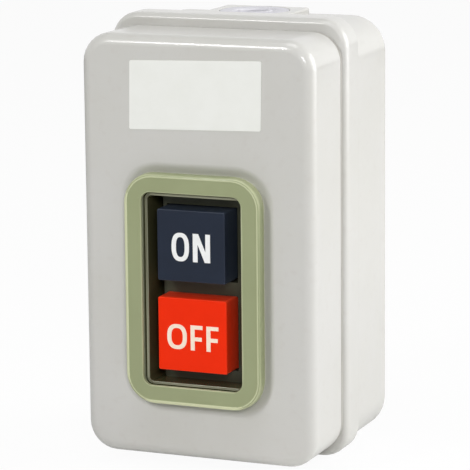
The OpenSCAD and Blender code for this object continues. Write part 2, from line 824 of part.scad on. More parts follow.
// Four screws from the base's notches into the case's posts
module base_screws() {
    color("#c4c5c3") for (x = SIDES, z = SIDES)
        translate([x * base_screw_x, y_base_back - notch_floor, base_z + z * base_screw_z])
            screw(base_screw_d, notch_floor + base_screw_bite, base_screw_head_d, base_screw_head_h);
}

// Fixed contact of one pole: strap, tip and screw hole. side is 1 for the supply end and -1 for the motor end
module fixed_contact(pole, side) {
    end_z = base_z + side * (base_h / 2 - strap_end_gap);
    start_z = on_z + side * arc_pocket_h / 2;
    hole_z = side > 0 ? terminal_z[0] : terminal_z[1];
    x = pole * pole_pitch;
    color("#c99a5b") difference() {
        union() {
            block(x, (start_z + end_z) / 2, strap_w, abs(end_z - start_z), y_strap, y_channel);
            rod(x, on_z + side * tip_z, tip_d, y_tip, y_strap + strap_t / 2);
        }
        rod(x, hole_z, terminal_d + 2 * screw_play, y_strap - overrun, y_channel + overrun);
    }
}

// Six cross-slotted terminal screws
module terminal_screws() {
    color("#cfcfca") for (i = POLES, z = terminal_z)
        translate([i * pole_pitch, y_strap - clamp_t, z])
            screw(terminal_d, clamp_t + terminal_bite - move_gap, terminal_head_d, terminal_head_h);
}

// Six square clamp washers under the terminal screws
module terminal_clamps() {
    color("#b9bab6") for (i = POLES, z = terminal_z) difference() {
        block(i * pole_pitch, z, clamp_size, clamp_size, y_strap - clamp_t, y_strap);
        rod(i * pole_pitch, z, terminal_d + 2 * screw_play, y_strap - clamp_t - overrun, y_strap + overrun);
    }
}

// Crossbar with a yoke for each contact bridge and two bores for the guide pins
module contact_carrier() {
    color("#5a3d2b") difference() {
        union() {
            block(0, on_z, carrier_w, carrier_h, y_carrier_front, y_carrier_back);
            for (i = POLES)
                block(i * pole_pitch, on_z, bridge_w + 2 * (yoke_gap + yoke_wall), yoke_h,
                      y_carrier_front + carrier_t / 2, y_bridge_back + yoke_bar_t);
        }
        for (i = POLES)
            block(i * pole_pitch, on_z, bridge_w + 2 * yoke_gap, yoke_h + 2 * overrun, y_carrier_back,
                  y_bridge_back);
        for (x = SIDES)
            rod(x * pin_x, on_z, pin_d + 2 * running_fit, y_carrier_front - overrun, y_carrier_back + overrun);
    }
}

// Moving bridge of one pole with its two tips
module contact_bridge(pole) {
    color("#c99a5b") {
        block(pole * pole_pitch, on_z, bridge_w, 2 * (tip_z + bridge_overhang), y_bridge_front, y_bridge_back);
        for (s = SIDES)
            rod(pole * pole_pitch, on_z + s * tip_z, tip_d, y_bridge_back - bridge_t / 2, y_bridge_tip);
    }
}

// Spring that presses one bridge, between it and the carrier
module contact_spring(pole) {
    color("#8d9196") translate([pole * pole_pitch, 0, on_z])
        wire_coil(contact_coil_r, contact_wire, y_carrier_back, y_bridge_front, contact_turns);
}

// Two steel pins that the carrier slides on
module guide_pins() {
    color("#b9bcc0") for (x = SIDES)
        rod(x * pin_x, on_z, pin_d, y_carrier_front - pin_past_carrier, y_base_front + pin_in_base);
}

// Two springs on the guide pins that push the carrier out
module carrier_springs() {
    color("#8d9196") for (x = SIDES)
        translate([x * pin_x, 0, on_z])
            wire_coil(carrier_coil_r, carrier_wire, y_carrier_back, y_base_front, carrier_turns);
}

// Rocking lever: hub, arm under the OFF plunger, and hook beside the carrier
module latch_lever() {
    hub_left = cradle_gap / 2 - move_gap - hub_w;
    color("#6f7377") translate([0, y_pivot, z_pivot]) difference() {
        union() {
            translate([hub_left, 0, 0]) rotate([0, 90, 0]) cylinder(d = hub_d, h = hub_w);
            translate([-cradle_gap / 2 + move_gap, 0, 0]) rotate([0, 90, 0])
                cylinder(d = spool_d, h = cradle_gap - 2 * move_gap);
            block(0, -arm_length / 2, arm_w, arm_length, -arm_front, -arm_front + arm_t);
            translate([hook_w / 2, 0, 0]) rotate([0, -90, 0]) linear_extrude(hook_w) polygon([
                [0, -hook_back - hook_t], [0, -hook_back],
                [hook_tip - 2 * hook_tooth, -hook_back], [hook_tip - hook_tooth, -hook_back - hook_t / 2],
                [hook_tip, -hook_back - hook_t / 2], [hook_tip, -hook_front],
                [hook_tip - hook_tooth, -hook_front - hook_t / 2]
            ]);
        }
        translate([-cradle_gap / 2, 0, 0]) rotate([0, 90, 0])
            cylinder(d = latch_pin_d + 2 * running_fit, h = cradle_gap);
    }
}

module latch_pin() {
    w = cradle_gap + 2 * cradle_w;
    color("#b9bcc0") translate([-w / 2, y_pivot, z_pivot]) rotate([0, 90, 0]) cylinder(d = latch_pin_d, h = w);
}

// Torsion spring on the lever's spool
module latch_spring() {
    x_from = -cradle_gap / 2 + move_gap;
    x_to = cradle_gap / 2 - hub_w - 2 * move_gap;
    color("#8d9196") translate([0, y_pivot, z_pivot]) rotate([0, 0, -90])
        wire_coil(latch_coil_r, latch_wire, x_from, x_to, latch_turns);
}

// Protective earth terminal in the rear case
module earth_screw() {
    length = earth_clamp_t + earth_post_h;
    color("#c7b25a") translate([earth_x, -case_wall - earth_post_h - earth_clamp_t, earth_z])
        screw(earth_screw_d, length, earth_head_d, earth_head_h);
}

module earth_clamp() {
    y_back = -case_wall - earth_post_h;
    color("#c7b25a") difference() {
        rod(earth_x, earth_z, earth_clamp_d, y_back - earth_clamp_t, y_back);
        rod(earth_x, earth_z, earth_screw_d + 2 * screw_play, y_back - earth_clamp_t - overrun,
            y_back + overrun);
    }
}

// Rubber bushing in a cable entry, its outer flange flush in the pad. side is 1 for the top
module grommet(side) {
    wall = entry_pad_h + case_wall;
    color("#d6d4d9") translate([0, y_entry, case_z + side * (case_h / 2 + entry_pad_h)])
        mirror([0, 0, side < 0 ? 1 : 0]) difference() {
            union() {
                translate([0, 0, -wall - bushing_flange_h])
                    cylinder(d = bushing_flange_d, h = bushing_flange_h);
                translate([0, 0, -wall - bushing_flange_h / 2])
                    cylinder(d = entry_hole_d - 2 * screw_play, h = wall + bushing_flange_h / 2);
                translate([0, 0, -entry_counter_h])
                    cylinder(d = entry_counter_d - 2 * screw_play, h = entry_counter_h);
            }
            translate([0, 0, -wall - bushing_flange_h - overrun])
                cylinder(d = cable_hole_d, h = wall + bushing_flange_h + 2 * overrun);
        }
}

front_cover();
rear_case();
case_gasket();
label_plate();
cover_hook();
cover_latch();
cover_screw();
bezel();
well_liner();
bezel_retainer();
bezel_screws();
guide_housing();
housing_screws();
on_button();
off_button();
on_plunger();
off_plunger();
on_spring();
off_spring();
switch_base();
base_screws();
fixed_contact(-1, 1);  // line_contact_1
fixed_contact(0, 1);  // line_contact_2
fixed_contact(1, 1);  // line_contact_3
fixed_contact(-1, -1);  // load_contact_1
fixed_contact(0, -1);  // load_contact_2
fixed_contact(1, -1);  // load_contact_3
terminal_screws();
terminal_clamps();
contact_carrier();
contact_bridge(-1);  // contact_bridge_1
contact_bridge(0);  // contact_bridge_2
contact_bridge(1);  // contact_bridge_3
contact_spring(-1);  // contact_spring_1
contact_spring(0);  // contact_spring_2
contact_spring(1);  // contact_spring_3
guide_pins();
carrier_springs();
latch_lever();
latch_pin();
latch_spring();
earth_screw();
earth_clamp();
grommet(1);  // grommet_top
grommet(-1);  // grommet_bottom
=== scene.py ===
"""Visual model of a wall-mounted pushbutton starter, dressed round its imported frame.

Every length held by a class is in millimetres, and MM turns it into Blender's metres as the
points are made. X runs to the right, Y into the wall and Z up, so the front faces -Y.
"""

from __future__ import annotations

import json
import logging
import math
from dataclasses import dataclass
from enum import Enum
from typing import Any, Iterable, Sequence

import bmesh
import bpy
from mathutils import Matrix, Vector

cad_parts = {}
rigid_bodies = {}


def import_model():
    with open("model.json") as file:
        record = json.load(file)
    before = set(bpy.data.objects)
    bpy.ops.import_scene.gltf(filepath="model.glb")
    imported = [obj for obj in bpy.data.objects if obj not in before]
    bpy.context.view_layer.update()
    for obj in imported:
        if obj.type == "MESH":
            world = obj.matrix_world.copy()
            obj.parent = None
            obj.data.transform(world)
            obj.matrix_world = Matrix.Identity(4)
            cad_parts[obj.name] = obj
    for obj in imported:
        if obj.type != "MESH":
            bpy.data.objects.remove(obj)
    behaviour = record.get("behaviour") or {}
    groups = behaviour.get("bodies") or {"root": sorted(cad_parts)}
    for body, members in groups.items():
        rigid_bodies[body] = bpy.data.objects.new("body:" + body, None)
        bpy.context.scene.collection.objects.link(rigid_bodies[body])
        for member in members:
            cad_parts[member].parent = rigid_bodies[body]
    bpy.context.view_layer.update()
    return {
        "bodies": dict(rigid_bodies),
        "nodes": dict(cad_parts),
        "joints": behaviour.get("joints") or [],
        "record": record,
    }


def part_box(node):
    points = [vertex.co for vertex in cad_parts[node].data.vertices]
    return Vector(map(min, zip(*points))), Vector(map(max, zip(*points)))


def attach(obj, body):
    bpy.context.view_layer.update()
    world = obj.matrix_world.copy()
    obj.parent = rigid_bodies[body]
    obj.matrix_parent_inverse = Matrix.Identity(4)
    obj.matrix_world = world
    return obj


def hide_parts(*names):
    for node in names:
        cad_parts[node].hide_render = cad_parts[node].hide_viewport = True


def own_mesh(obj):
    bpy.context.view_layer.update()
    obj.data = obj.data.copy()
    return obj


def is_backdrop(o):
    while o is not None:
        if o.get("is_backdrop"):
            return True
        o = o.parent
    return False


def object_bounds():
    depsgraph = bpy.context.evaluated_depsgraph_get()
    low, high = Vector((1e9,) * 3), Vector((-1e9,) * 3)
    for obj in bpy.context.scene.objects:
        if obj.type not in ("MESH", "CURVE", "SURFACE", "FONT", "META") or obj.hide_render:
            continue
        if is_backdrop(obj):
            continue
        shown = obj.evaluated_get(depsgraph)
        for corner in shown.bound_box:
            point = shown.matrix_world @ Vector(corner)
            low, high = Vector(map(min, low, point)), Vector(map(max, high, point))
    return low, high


MM = 0.001
WELD = 1e-7
WIRE_CREASE_DEG = 60.0
LOG = logging.getLogger("starter")

Mesh = bpy.types.Mesh
Piece = bpy.types.Object
Socket = bpy.types.NodeSocket
Colour = tuple[float, float, float, float]
Pair = tuple[float, float]
Profile = list[Pair]
Loop = list[Vector]


def linear(colour: str) -> Colour:
    """Turns an sRGB hex colour into Blender's linear one.

    Args:
        colour: The colour as "#rrggbb".

    Returns:
        Red, green, blue and an alpha of 1.
    """
    shares = [int(colour[i : i + 2], 16) / 255 for i in (1, 3, 5)]
    r, g, b = (s / 12.92 if s <= 0.04045 else ((s + 0.055) / 1.055) ** 2.4 for s in shares)
    return (r, g, b, 1.0)


def add_node(
    tree: bpy.types.NodeTree,
    kind: str,
    inputs: dict[str | int, Any] | None = None,
    **settings: Any,
) -> bpy.types.Node:
    """Adds one node with its settings and links.

    Args:
        tree: The node tree that takes it.
        kind: The node's type.
        inputs: For each input, by name or number, a value or the socket that feeds it.
        **settings: The node's own properties.

    Returns:
        The new node.
    """
    node = tree.nodes.new(kind)
    for key, value in settings.items():
        setattr(node, key, value)
    for key, value in (inputs or {}).items():
        if isinstance(value, Socket):
            tree.links.new(value, node.inputs[key])
        else:
            node.inputs[key].default_value = value
    return node


@dataclass(frozen=True)
class Ground:
    """What a finish is drawn on: its material's node tree and the position on the object, in metres."""

    tree: bpy.types.NodeTree
    place: Socket

    def noise(self, size_mm: float, detail: float = 2.0) -> Socket:
        """Adds a noise whose patches have a real size.

        Args:
            size_mm: The size of one patch.
            detail: How many finer layers it has.

        Returns:
            The noise's value, from 0 to 1.
        """
        inputs = {"Vector": self.place, "Scale": 1 / (size_mm * MM), "Detail": detail, "Roughness": 0.55}
        return add_node(self.tree, "ShaderNodeTexNoise", inputs).outputs["Fac"]

    def spread(self, value: Socket, part: Pair, to: Pair) -> Socket:
        """Stretches a part of a value's range over another range, and clamps it there.

        Args:
            value: The value.
            part: Where the part starts and ends.
            to: The new range.

        Returns:
            The stretched value.
        """
        inputs = {"Value": value, "From Min": part[0], "From Max": part[1], "To Min": to[0], "To Max": to[1]}
        return add_node(self.tree, "ShaderNodeMapRange", inputs).outputs["Result"]

    def blend(self, share: Socket, first: Socket | Colour, second: Socket | Colour) -> Socket:
        """Mixes two colours.

        Args:
            share: How much of the second colour there is.
            first: The first colour.
            second: The second colour.

        Returns:
            The mixed colour.
        """
        inputs = {0: share, 6: first, 7: second}
        return add_node(self.tree, "ShaderNodeMix", inputs, data_type="RGBA").outputs[2]

    def bump(self, height: Socket, height_mm: float, under: Socket | None = None) -> Socket:
        """Raises a relief.

        Args:
            height: The relief, from 0 to 1.
            height_mm: How high it stands.
            under: The normal that it lies on, where that isn't the mesh's own.

        Returns:
            The normal with the relief.
        """
        inputs: dict[str | int, Any] = {"Height": height, "Distance": height_mm * MM, "Strength": 1.0}
        if under is not None:
            inputs["Normal"] = under
        return add_node(self.tree, "ShaderNodeBump", inputs).outputs["Normal"]


@dataclass(frozen=True)
class Finish:
    """A smooth, nearly even surface, and what all the other finishes start from."""

    name: str
    colour: str
    drift_colour: str
    roughness: float
    roughness_spread: float = 0.06
    ior: float = 1.5
    metallic: float = 0.0
    coat: float = 0.0
    coat_roughness: float = 0.08
    drift_mm: float = 22.0
    drift_share: float = 0.5
    drift_part: Pair = (0.36, 0.64)
    handling_scale: float = 0.4
    handling_part: Pair = (0.3, 0.7)
    grain_mm: float = 0.6
    grain_height_mm: float = 0.004
    lay: tuple[float, float, float] = (1.0, 1.0, 1.0)

    def tone(self, ground: Ground) -> Socket:
        """Returns the surface colour: the finish's own, drifting softly to its second one."""
        share = ground.spread(ground.noise(self.drift_mm, 4.0), self.drift_part, (0.0, self.drift_share))
        return ground.blend(share, linear(self.colour), linear(self.drift_colour))

    def polish(self, ground: Ground) -> Socket:
        """Returns the roughness, a little uneven from handling."""
        low, high = self.roughness - self.roughness_spread, self.roughness + self.roughness_spread
        return ground.spread(ground.noise(self.drift_mm * self.handling_scale, 3.0), self.handling_part, (low, high))

    def relief(self, ground: Ground) -> Socket:
        """Returns the surface normal with the finish's fine grain."""
        return ground.bump(ground.noise(self.grain_mm), self.grain_height_mm)

    def build(self) -> bpy.types.Material:
        """Makes the finish's material.

        Returns:
            The material, ready to be assigned.
        """
        material = bpy.data.materials.new(self.name)
        material.use_nodes = True
        tree = material.node_tree
        tree.nodes.clear()
        place = add_node(tree, "ShaderNodeTexCoord").outputs["Object"]
        if self.lay != Finish.lay:
            place = add_node(tree, "ShaderNodeMapping", {"Vector": place, "Scale": self.lay}).outputs["Vector"]
        ground = Ground(tree, place)
        inputs = {
            "Base Color": self.tone(ground),
            "Roughness": self.polish(ground),
            "Normal": self.relief(ground),
            "Metallic": self.metallic,
            "IOR": self.ior,
            "Coat Weight": self.coat,
            "Coat Roughness": self.coat_roughness,
        }
        shader = add_node(tree, "ShaderNodeBsdfPrincipled", inputs)
        add_node(tree, "ShaderNodeOutputMaterial", {"Surface": shader.outputs["BSDF"]})
        return material


@dataclass(frozen=True)
class Enamel(Finish):
    """Stoved enamel on pressed sheet steel: soft waves of the sheet under a fine orange peel."""

    wave_mm: float = 34.0
    wave_height_mm: float = 0.1
    peel_mm: float = 1.7
    peel_height_mm: float = 0.006
    dust_colour: str = "#bdb8b2"
    dust_mm: float = 3.2
    dust_share: float = 0.22
    dust_part: Pair = (0.56, 0.72)

    def tone(self, ground: Ground) -> Socket:
        """Returns the paint's colour with warm and cool clouds and a little handling dust."""
        dust = ground.spread(ground.noise(self.dust_mm, 6.0), self.dust_part, (0.0, self.dust_share))
        return ground.blend(dust, super().tone(ground), linear(self.dust_colour))

    def relief(self, ground: Ground) -> Socket:
        """Returns the normal of the sheet's waves with the paint's orange peel on them."""
        wave = ground.bump(ground.noise(self.wave_mm, 1.0), self.wave_height_mm)
        return ground.bump(ground.noise(self.peel_mm, 1.0), self.peel_height_mm, wave)


@dataclass(frozen=True)
class Moulding(Finish):
    """Moulded plastic: a spark-eroded grain, drawn three times as coarse as the real one so that it shows, with a
    painted highlight on its sharp edges where a highlight colour is given.
    """

    grain_mm: float = 0.45
    grain_height_mm: float = 0.005
    edge_highlight_colour: str = ""
    edge_highlight_share: float = 0.0
    edge_part: Pair = (0.515, 0.545)

    def tone(self, ground: Ground) -> Socket:
        """Returns the pigment's colour, with a painted highlight where an edge stands out.

        Args:
            ground: What the finish is drawn on.

        Returns:
            The colour.
        """
        pigment = super().tone(ground)
        if not self.edge_highlight_colour:
            return pigment
        # Pointiness picks out the convex edges, which get a painted highlight.
        sharp = add_node(ground.tree, "ShaderNodeNewGeometry").outputs["Pointiness"]
        painted_edge_highlight = ground.spread(sharp, self.edge_part, (0.0, self.edge_highlight_share))
        return ground.blend(painted_edge_highlight, pigment, linear(self.edge_highlight_colour))


@dataclass(frozen=True)
class Phenolic(Finish):
    """Phenolic moulding filled with wood flour, which leaves pale specks in the dark resin."""

    speck_mm: float = 0.7
    speck_colour: str = "#7b6350"
    speck_share: float = 0.55
    speck_part: Pair = (0.26, 0.1)

    def tone(self, ground: Ground) -> Socket:
        """Returns the resin's colour with its filler's specks.

        Args:
            ground: What the finish is drawn on.

        Returns:
            The colour.
        """
        inputs = {"Vector": ground.place, "Scale": 1 / (self.speck_mm * MM)}
        cells = add_node(ground.tree, "ShaderNodeTexVoronoi", inputs).outputs["Distance"]
        specks = ground.spread(cells, self.speck_part, (0.0, self.speck_share))
        return ground.blend(specks, super().tone(ground), linear(self.speck_colour))


@dataclass(frozen=True)
class Metal(Finish):
    """Rolled, drawn or ground metal: fine lines along its lay, and a dull stain here and there."""

    metallic: float = 1.0
    stain_colour: str = "#6f6c66"
    stain_mm: float = 1.6
    stain_share: float = 0.35
    stain_part: Pair = (0.58, 0.75)

    def tone(self, ground: Ground) -> Socket:
        """Returns the metal's colour with its stains."""
        stain = ground.spread(ground.noise(self.stain_mm, 5.0), self.stain_part, (0.0, self.stain_share))
        return ground.blend(stain, super().tone(ground), linear(self.stain_colour))


@dataclass(frozen=True)
class Rubber(Finish):
    """Moulded rubber: matt, with a pale bloom in clouds."""

    bloom_colour: str = "#8a8a88"
    bloom_mm: float = 2.4
    bloom_share: float = 0.3
    bloom_part: Pair = (0.5, 0.8)

    def tone(self, ground: Ground) -> Socket:
        """Returns the rubber's colour under its bloom."""
        bloom = ground.spread(ground.noise(self.bloom_mm, 5.0), self.bloom_part, (0.0, self.bloom_share))
        return ground.blend(bloom, super().tone(ground), linear(self.bloom_colour))


class Ink(Enum):
    """The paints that fill the letters."""

    WHITE = "letter_white"
    CREAM = "letter_cream"


# One finish for each material slot of the record, and one for each ink.
FINISHES: dict[str, Finish] = {
    # Light warm grey enamel, sprayed on pressed steel and stoved: half gloss, so long soft highlights on the edges.
    "case_paint": Enamel(
        "stoving_enamel_warm_grey", "#c9c8c4", "#c5c4be", 0.36, 0.05, 1.5,
        coat=0.5, coat_roughness=0.12, drift_mm=46.0, drift_share=0.8,
    ),
    # Nitrile sponge, foamed and cut to a ring: matt and pale grey, a soft line in the seam.
    "seal": Rubber("nitrile_sponge_pale_grey", "#b4b1ab", "#a9a6a0", 0.86, grain_mm=0.5, grain_height_mm=0.03),
    # Polyester film, punched to size and bare: a flat white with a faint sheen.
    "label": Finish(
        "polyester_label_film", "#ecede8", "#e7e8e2", 0.38, 0.04, 1.57,
        drift_mm=9.0, grain_mm=0.35, grain_height_mm=0.0015,
    ),
    # Zinc-plated steel, stamped or headed: pale, slightly blue, with milky reflections.
    "zinc_steel": Metal("zinc_plated_steel", "#c9cbcc", "#b7b8b6", 0.3, 0.08, grain_mm=0.35, drift_mm=6.0),
    # Urea resin in pale yellow green, pressed in a mould: glossy skin, with a painted highlight along its crest.
    "bezel_plastic": Moulding(
        "urea_moulding_yellow_green", "#959c75", "#8d946d", 0.4, 0.06, 1.5,
        coat=0.1, drift_mm=18.0, edge_highlight_colour="#ccd0a9", edge_highlight_share=1.0,
    ),
    # The same resin, darkened to olive as painted shade for the deep well, and polished in the mould: it mirrors the
    # caps beside it, and its lip carries a painted highlight.
    "liner_plastic": Moulding(
        "urea_moulding_olive_painted_shade", "#4e4c33", "#47452c", 0.14, 0.04, 1.45,
        drift_mm=14.0, edge_highlight_colour="#b9bba2", edge_highlight_share=0.85,
    ),
    # Glass-filled nylon in grey green, injection moulded: matt with a dry grain, its grey green darkened as painted
    # shade for the deep well.
    "guide_plastic": Moulding("nylon_moulding_grey_green_painted_shade", "#474939", "#414334", 0.5, 0.08, 1.36, drift_mm=12.0),
    # ABS in a near-black blue, injection moulded: a satin face, with a painted highlight on its edges.
    "on_plastic": Moulding(
        "abs_moulding_blue_black", "#1b2434", "#18202e", 0.4, 0.05, 1.3, drift_mm=10.0,
        edge_highlight_colour="#4a5362", edge_highlight_share=0.6,
    ),
    # ABS in signal red, injection moulded: a strong even red with a painted highlight on its edges.
    "off_plastic": Moulding(
        "abs_moulding_signal_red", "#f32d02", "#eb2a01", 0.38, 0.05, 1.2, drift_mm=10.0,
        edge_highlight_colour="#ff5532", edge_highlight_share=0.6,
    ),
    # Natural acetal, turned from rod: off-white and slightly waxy.
    "nylon": Moulding("acetal_rod_natural", "#e8e3d6", "#dfdacb", 0.42, 0.05, 1.48, drift_mm=8.0),
    # Spring steel, drawn to wire and coiled: dark and bright, with lines along the wire.
    "spring_steel": Metal("drawn_spring_steel", "#9a9da1", "#86898d", 0.28, 0.06, grain_mm=0.2, drift_mm=3.0),
    # Brown phenolic filled with wood flour, pressed in a mould: dull, with pale specks.
    "phenolic": Phenolic("phenolic_moulding_brown", "#3b2c22", "#33261d", 0.4, 0.08, 1.6, drift_mm=12.0),
    # The same in red brown, for the carrier: warmer, with lighter specks.
    "carrier_phenolic": Phenolic(
        "phenolic_moulding_red_brown", "#63402c", "#583726", 0.42, 0.08, 1.6, drift_mm=10.0,
        speck_colour="#96745a",
    ),
    # Brass strip, rolled and stamped: lines of the roll along the strip, and brown stains.
    "contact_brass": Metal(
        "stamped_brass_strip", "#cfa35c", "#bf9350", 0.32, 0.1, drift_mm=9.0, grain_mm=0.25,
        lay=(1.0, 1.0, 0.15), stain_colour="#7a5a2c",
    ),
    # Steel, ground for the pins and stamped for the lever: clean and bright.
    "pin_steel": Metal("ground_steel", "#bcbfc4", "#aaadb2", 0.24, 0.06, drift_mm=5.0, grain_mm=0.2),
    # Brass of the earth terminal, turned from bar: bright and yellow.
    "earth_brass": Metal(
        "bright_turned_brass", "#d3b765", "#c5a856", 0.26, 0.06, drift_mm=4.0, grain_mm=0.2,
        stain_colour="#7a6430",
    ),
    # Silicone rubber in pale grey, moulded: soft, dull and slightly milky.
    "pale_rubber": Rubber(
        "silicone_rubber_pale_grey", "#dcdbe1", "#d3d2d8", 0.62, grain_mm=0.5, grain_height_mm=0.01,
        bloom_colour="#eeeef2",
    ),
    # Filler paint, wiped into the letters: thick, slightly uneven.
    Ink.WHITE.value: Finish("letter_filler_white", "#f3f4f3", "#e9ebea", 0.45, drift_mm=1.6, grain_mm=0.3),
    Ink.CREAM.value: Finish("letter_filler_cream", "#fbe9d6", "#f6dcc4", 0.45, drift_mm=1.6, grain_mm=0.3),
}


class Palette:
    """Builds each finish's material once and hands it out."""

    def __init__(self, record: dict[str, Any]) -> None:
        """Reads which slot each node of the record has."""
        self.slot_of = {row["node"]: row["material_slot"] for row in record["subparts"]}
        self.made: dict[str, bpy.types.Material] = {}

    def material(self, slot: str) -> bpy.types.Material:
        """Hands out one material.

        Args:
            slot: A slot of the record, or an ink's value.

        Returns:
            Its material.
        """
        if slot not in self.made:
            self.made[slot] = FINISHES[slot].build()
        return self.made[slot]


class Turn(Enum):
    """Which way a quarter bend of a profile sets off."""

    ALONG = "along the depth"
    ACROSS = "across the depth"


def bend(start: Pair, end: Pair, turn: Turn, steps: int) -> Profile:
    """Rounds the corner of a profile by a quarter of an ellipse.

    Args:
        start: Inset and depth where the bend starts.
        end: Inset and depth where it ends.
        turn: The direction it sets off in.
        steps: How many points it gets.

    Returns:
        The bend's points after its start.
    """
    points = []
    for i in range(1, steps + 1):
        angle = math.radians(90 * i / steps)
        lead, lag = math.sin(angle), 1 - math.cos(angle)
        across, along = (lag, lead) if turn is Turn.ALONG else (lead, lag)
        points.append((start[0] + (end[0] - start[0]) * across, start[1] + (end[1] - start[1]) * along))
    return points


def placed(spot: tuple[float, float, float], turn_deg: float = 0.0, axis: str = "X") -> Matrix:
    """Returns the space at a spot, turned round one of its axes, in metres."""
    return Matrix.Translation(Vector(spot) * MM) @ Matrix.Rotation(math.radians(turn_deg), 4, axis)


@dataclass(frozen=True)
class Outline:
    """A rectangle with round corners, seen from the front."""

    width: float
    height: float
    radius: float
    x: float = 0.0
    z: float = 0.0
    arc_steps: int = 8
    side_steps: int = 6
    least_radius: float = 0.12

    def loop(self, inset: float, depth: float) -> Loop:
        """Goes once round the outline.

        Args:
            inset: How far in from the outline.
            depth: Where along Y.

        Returns:
            The points, in millimetres.
        """
        radius = max(self.radius - inset, self.least_radius)
        half_x, half_z = self.width / 2 - inset - radius, self.height / 2 - inset - radius
        arcs = []
        for quarter, (sx, sz) in enumerate(((1, 1), (-1, 1), (-1, -1), (1, -1))):
            x, z = self.x + sx * half_x, self.z + sz * half_z
            turns = [math.radians(90 * (quarter + i / self.arc_steps)) for i in range(self.arc_steps + 1)]
            arcs.append([Vector((x + radius * math.cos(t), depth, z + radius * math.sin(t))) for t in turns])
        points: Loop = []
        for quarter, arc in enumerate(arcs):
            following = arcs[(quarter + 1) % 4][0]
            points += arc
            points += [arc[-1].lerp(following, i / self.side_steps) for i in range(1, self.side_steps)]
        return points

    def circle(self, diameter: float, depth: float) -> Loop:
        """Goes once round a circle at the outline's middle, its points in line with the outline's own."""
        middle = Vector((self.x, depth, self.z))
        return [middle + (p - middle).normalized() * diameter / 2 for p in self.loop(0.0, depth)]

    def loops(self, profile: Profile) -> list[Loop]:
        """Returns one loop for each inset and depth of a profile."""
        return [self.loop(inset, depth) for inset, depth in profile]


def turned(profile: Profile, x: float = 0.0, z: float = 0.0, sides: int = 40) -> list[Loop]:
    """Turns a profile of radius and depth round an axis along Y.

    Args:
        profile: Radius and depth of each ring.
        x: The axis's place in X.
        z: The axis's place in Z.
        sides: How many points go round.

    Returns:
        One loop for each ring.
    """
    angles = [2 * math.pi * i / sides for i in range(sides)]
    return [[Vector((x + r * math.cos(a), y, z + r * math.sin(a))) for a in angles] for r, y in profile]


class Ends(Enum):
    """How the first and last loop of a skin are closed."""

    JOINED = "to each other"
    CAPPED = "each by a face"


def skin(loops: Sequence[Loop], ends: Ends, frame: Matrix | None = None) -> Mesh:
    """Covers a row of loops, all with as many points.

    Args:
        loops: The loops in order, in millimetres.
        ends: How the row is closed.
        frame: Where the loops' own space lies, in metres.

    Returns:
        A closed mesh in metres.
    """
    frame = frame or Matrix.Identity(4)
    shape = bmesh.new()
    rows = [[shape.verts.new(frame @ (point * MM)) for point in loop] for loop in loops]
    pairs = list(zip(rows, rows[1:]))
    if ends is Ends.JOINED:
        pairs.append((rows[-1], rows[0]))
    for first, second in pairs:
        for i in range(len(first)):
            j = (i + 1) % len(first)
            shape.faces.new((first[i], first[j], second[j], second[i]))
    if ends is Ends.CAPPED:
        shape.faces.new(rows[0])
        shape.faces.new(rows[-1])
    bmesh.ops.remove_doubles(shape, verts=shape.verts, dist=WELD)
    bmesh.ops.recalc_face_normals(shape, faces=shape.faces)
    mesh = bpy.data.meshes.new("skin")
    shape.to_mesh(mesh)
    shape.free()
    return mesh


def joined(meshes: Iterable[Mesh]) -> Mesh:
    """Puts several meshes into one.

    Args:
        meshes: The meshes, which are removed.

    Returns:
        The new mesh.
    """
    shape = bmesh.new()
    for mesh in meshes:
        shape.from_mesh(mesh)
        bpy.data.meshes.remove(mesh)
    whole = bpy.data.meshes.new("joined")
    shape.to_mesh(whole)
    shape.free()
    return whole


def solid(name: str, mesh: Mesh) -> Piece:
    """Links a mesh into the scene as an object.

    Args:
        name: The object's name, which the mesh gets too.
        mesh: The mesh.

    Returns:
        The object.
    """
    piece = bpy.data.objects.new(name, mesh)
    mesh.name = name
    bpy.context.scene.collection.objects.link(piece)
    return piece


def baked(piece: Piece) -> Mesh:
    """Returns a new mesh of the piece with its modifiers applied."""
    graph = bpy.context.evaluated_depsgraph_get()
    return bpy.data.meshes.new_from_object(piece.evaluated_get(graph))


def bored(mesh: Mesh, drills: Sequence[Mesh]) -> Mesh:
    """Cuts holes in a mesh.

    Args:
        mesh: The mesh to be bored.
        drills: Closed meshes of what is taken away.

    Returns:
        The bored mesh. The others are removed.
    """
    piece = solid("blank", mesh)
    tools = [solid("drill", drill) for drill in drills]
    for tool in tools:
        cut = piece.modifiers.new("bore", "BOOLEAN")
        cut.object, cut.operation, cut.solver = tool, "DIFFERENCE", "EXACT"
    result = baked(piece)
    for thing in (piece, *tools):
        data = thing.data
        bpy.data.objects.remove(thing)
        bpy.data.meshes.remove(data)
    return result


@dataclass(frozen=True)
class Span:
    """The box of a CAD node, in millimetres."""

    low: Vector
    high: Vector

    @classmethod
    def of(cls, node: str) -> Span:
        """Reads the box of a node from the frame."""
        low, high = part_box(node)
        return cls(low / MM, high / MM)

    @property
    def size(self) -> Vector:
        """The box's three sides."""
        return self.high - self.low

    @property
    def middle(self) -> Vector:
        """The box's middle."""
        return (self.high + self.low) / 2

    def outline(self, radius: float) -> Outline:
        """Returns the box seen from the front, as an outline with that corner radius."""
        return Outline(self.size.x, self.size.z, radius, self.middle.x, self.middle.z)


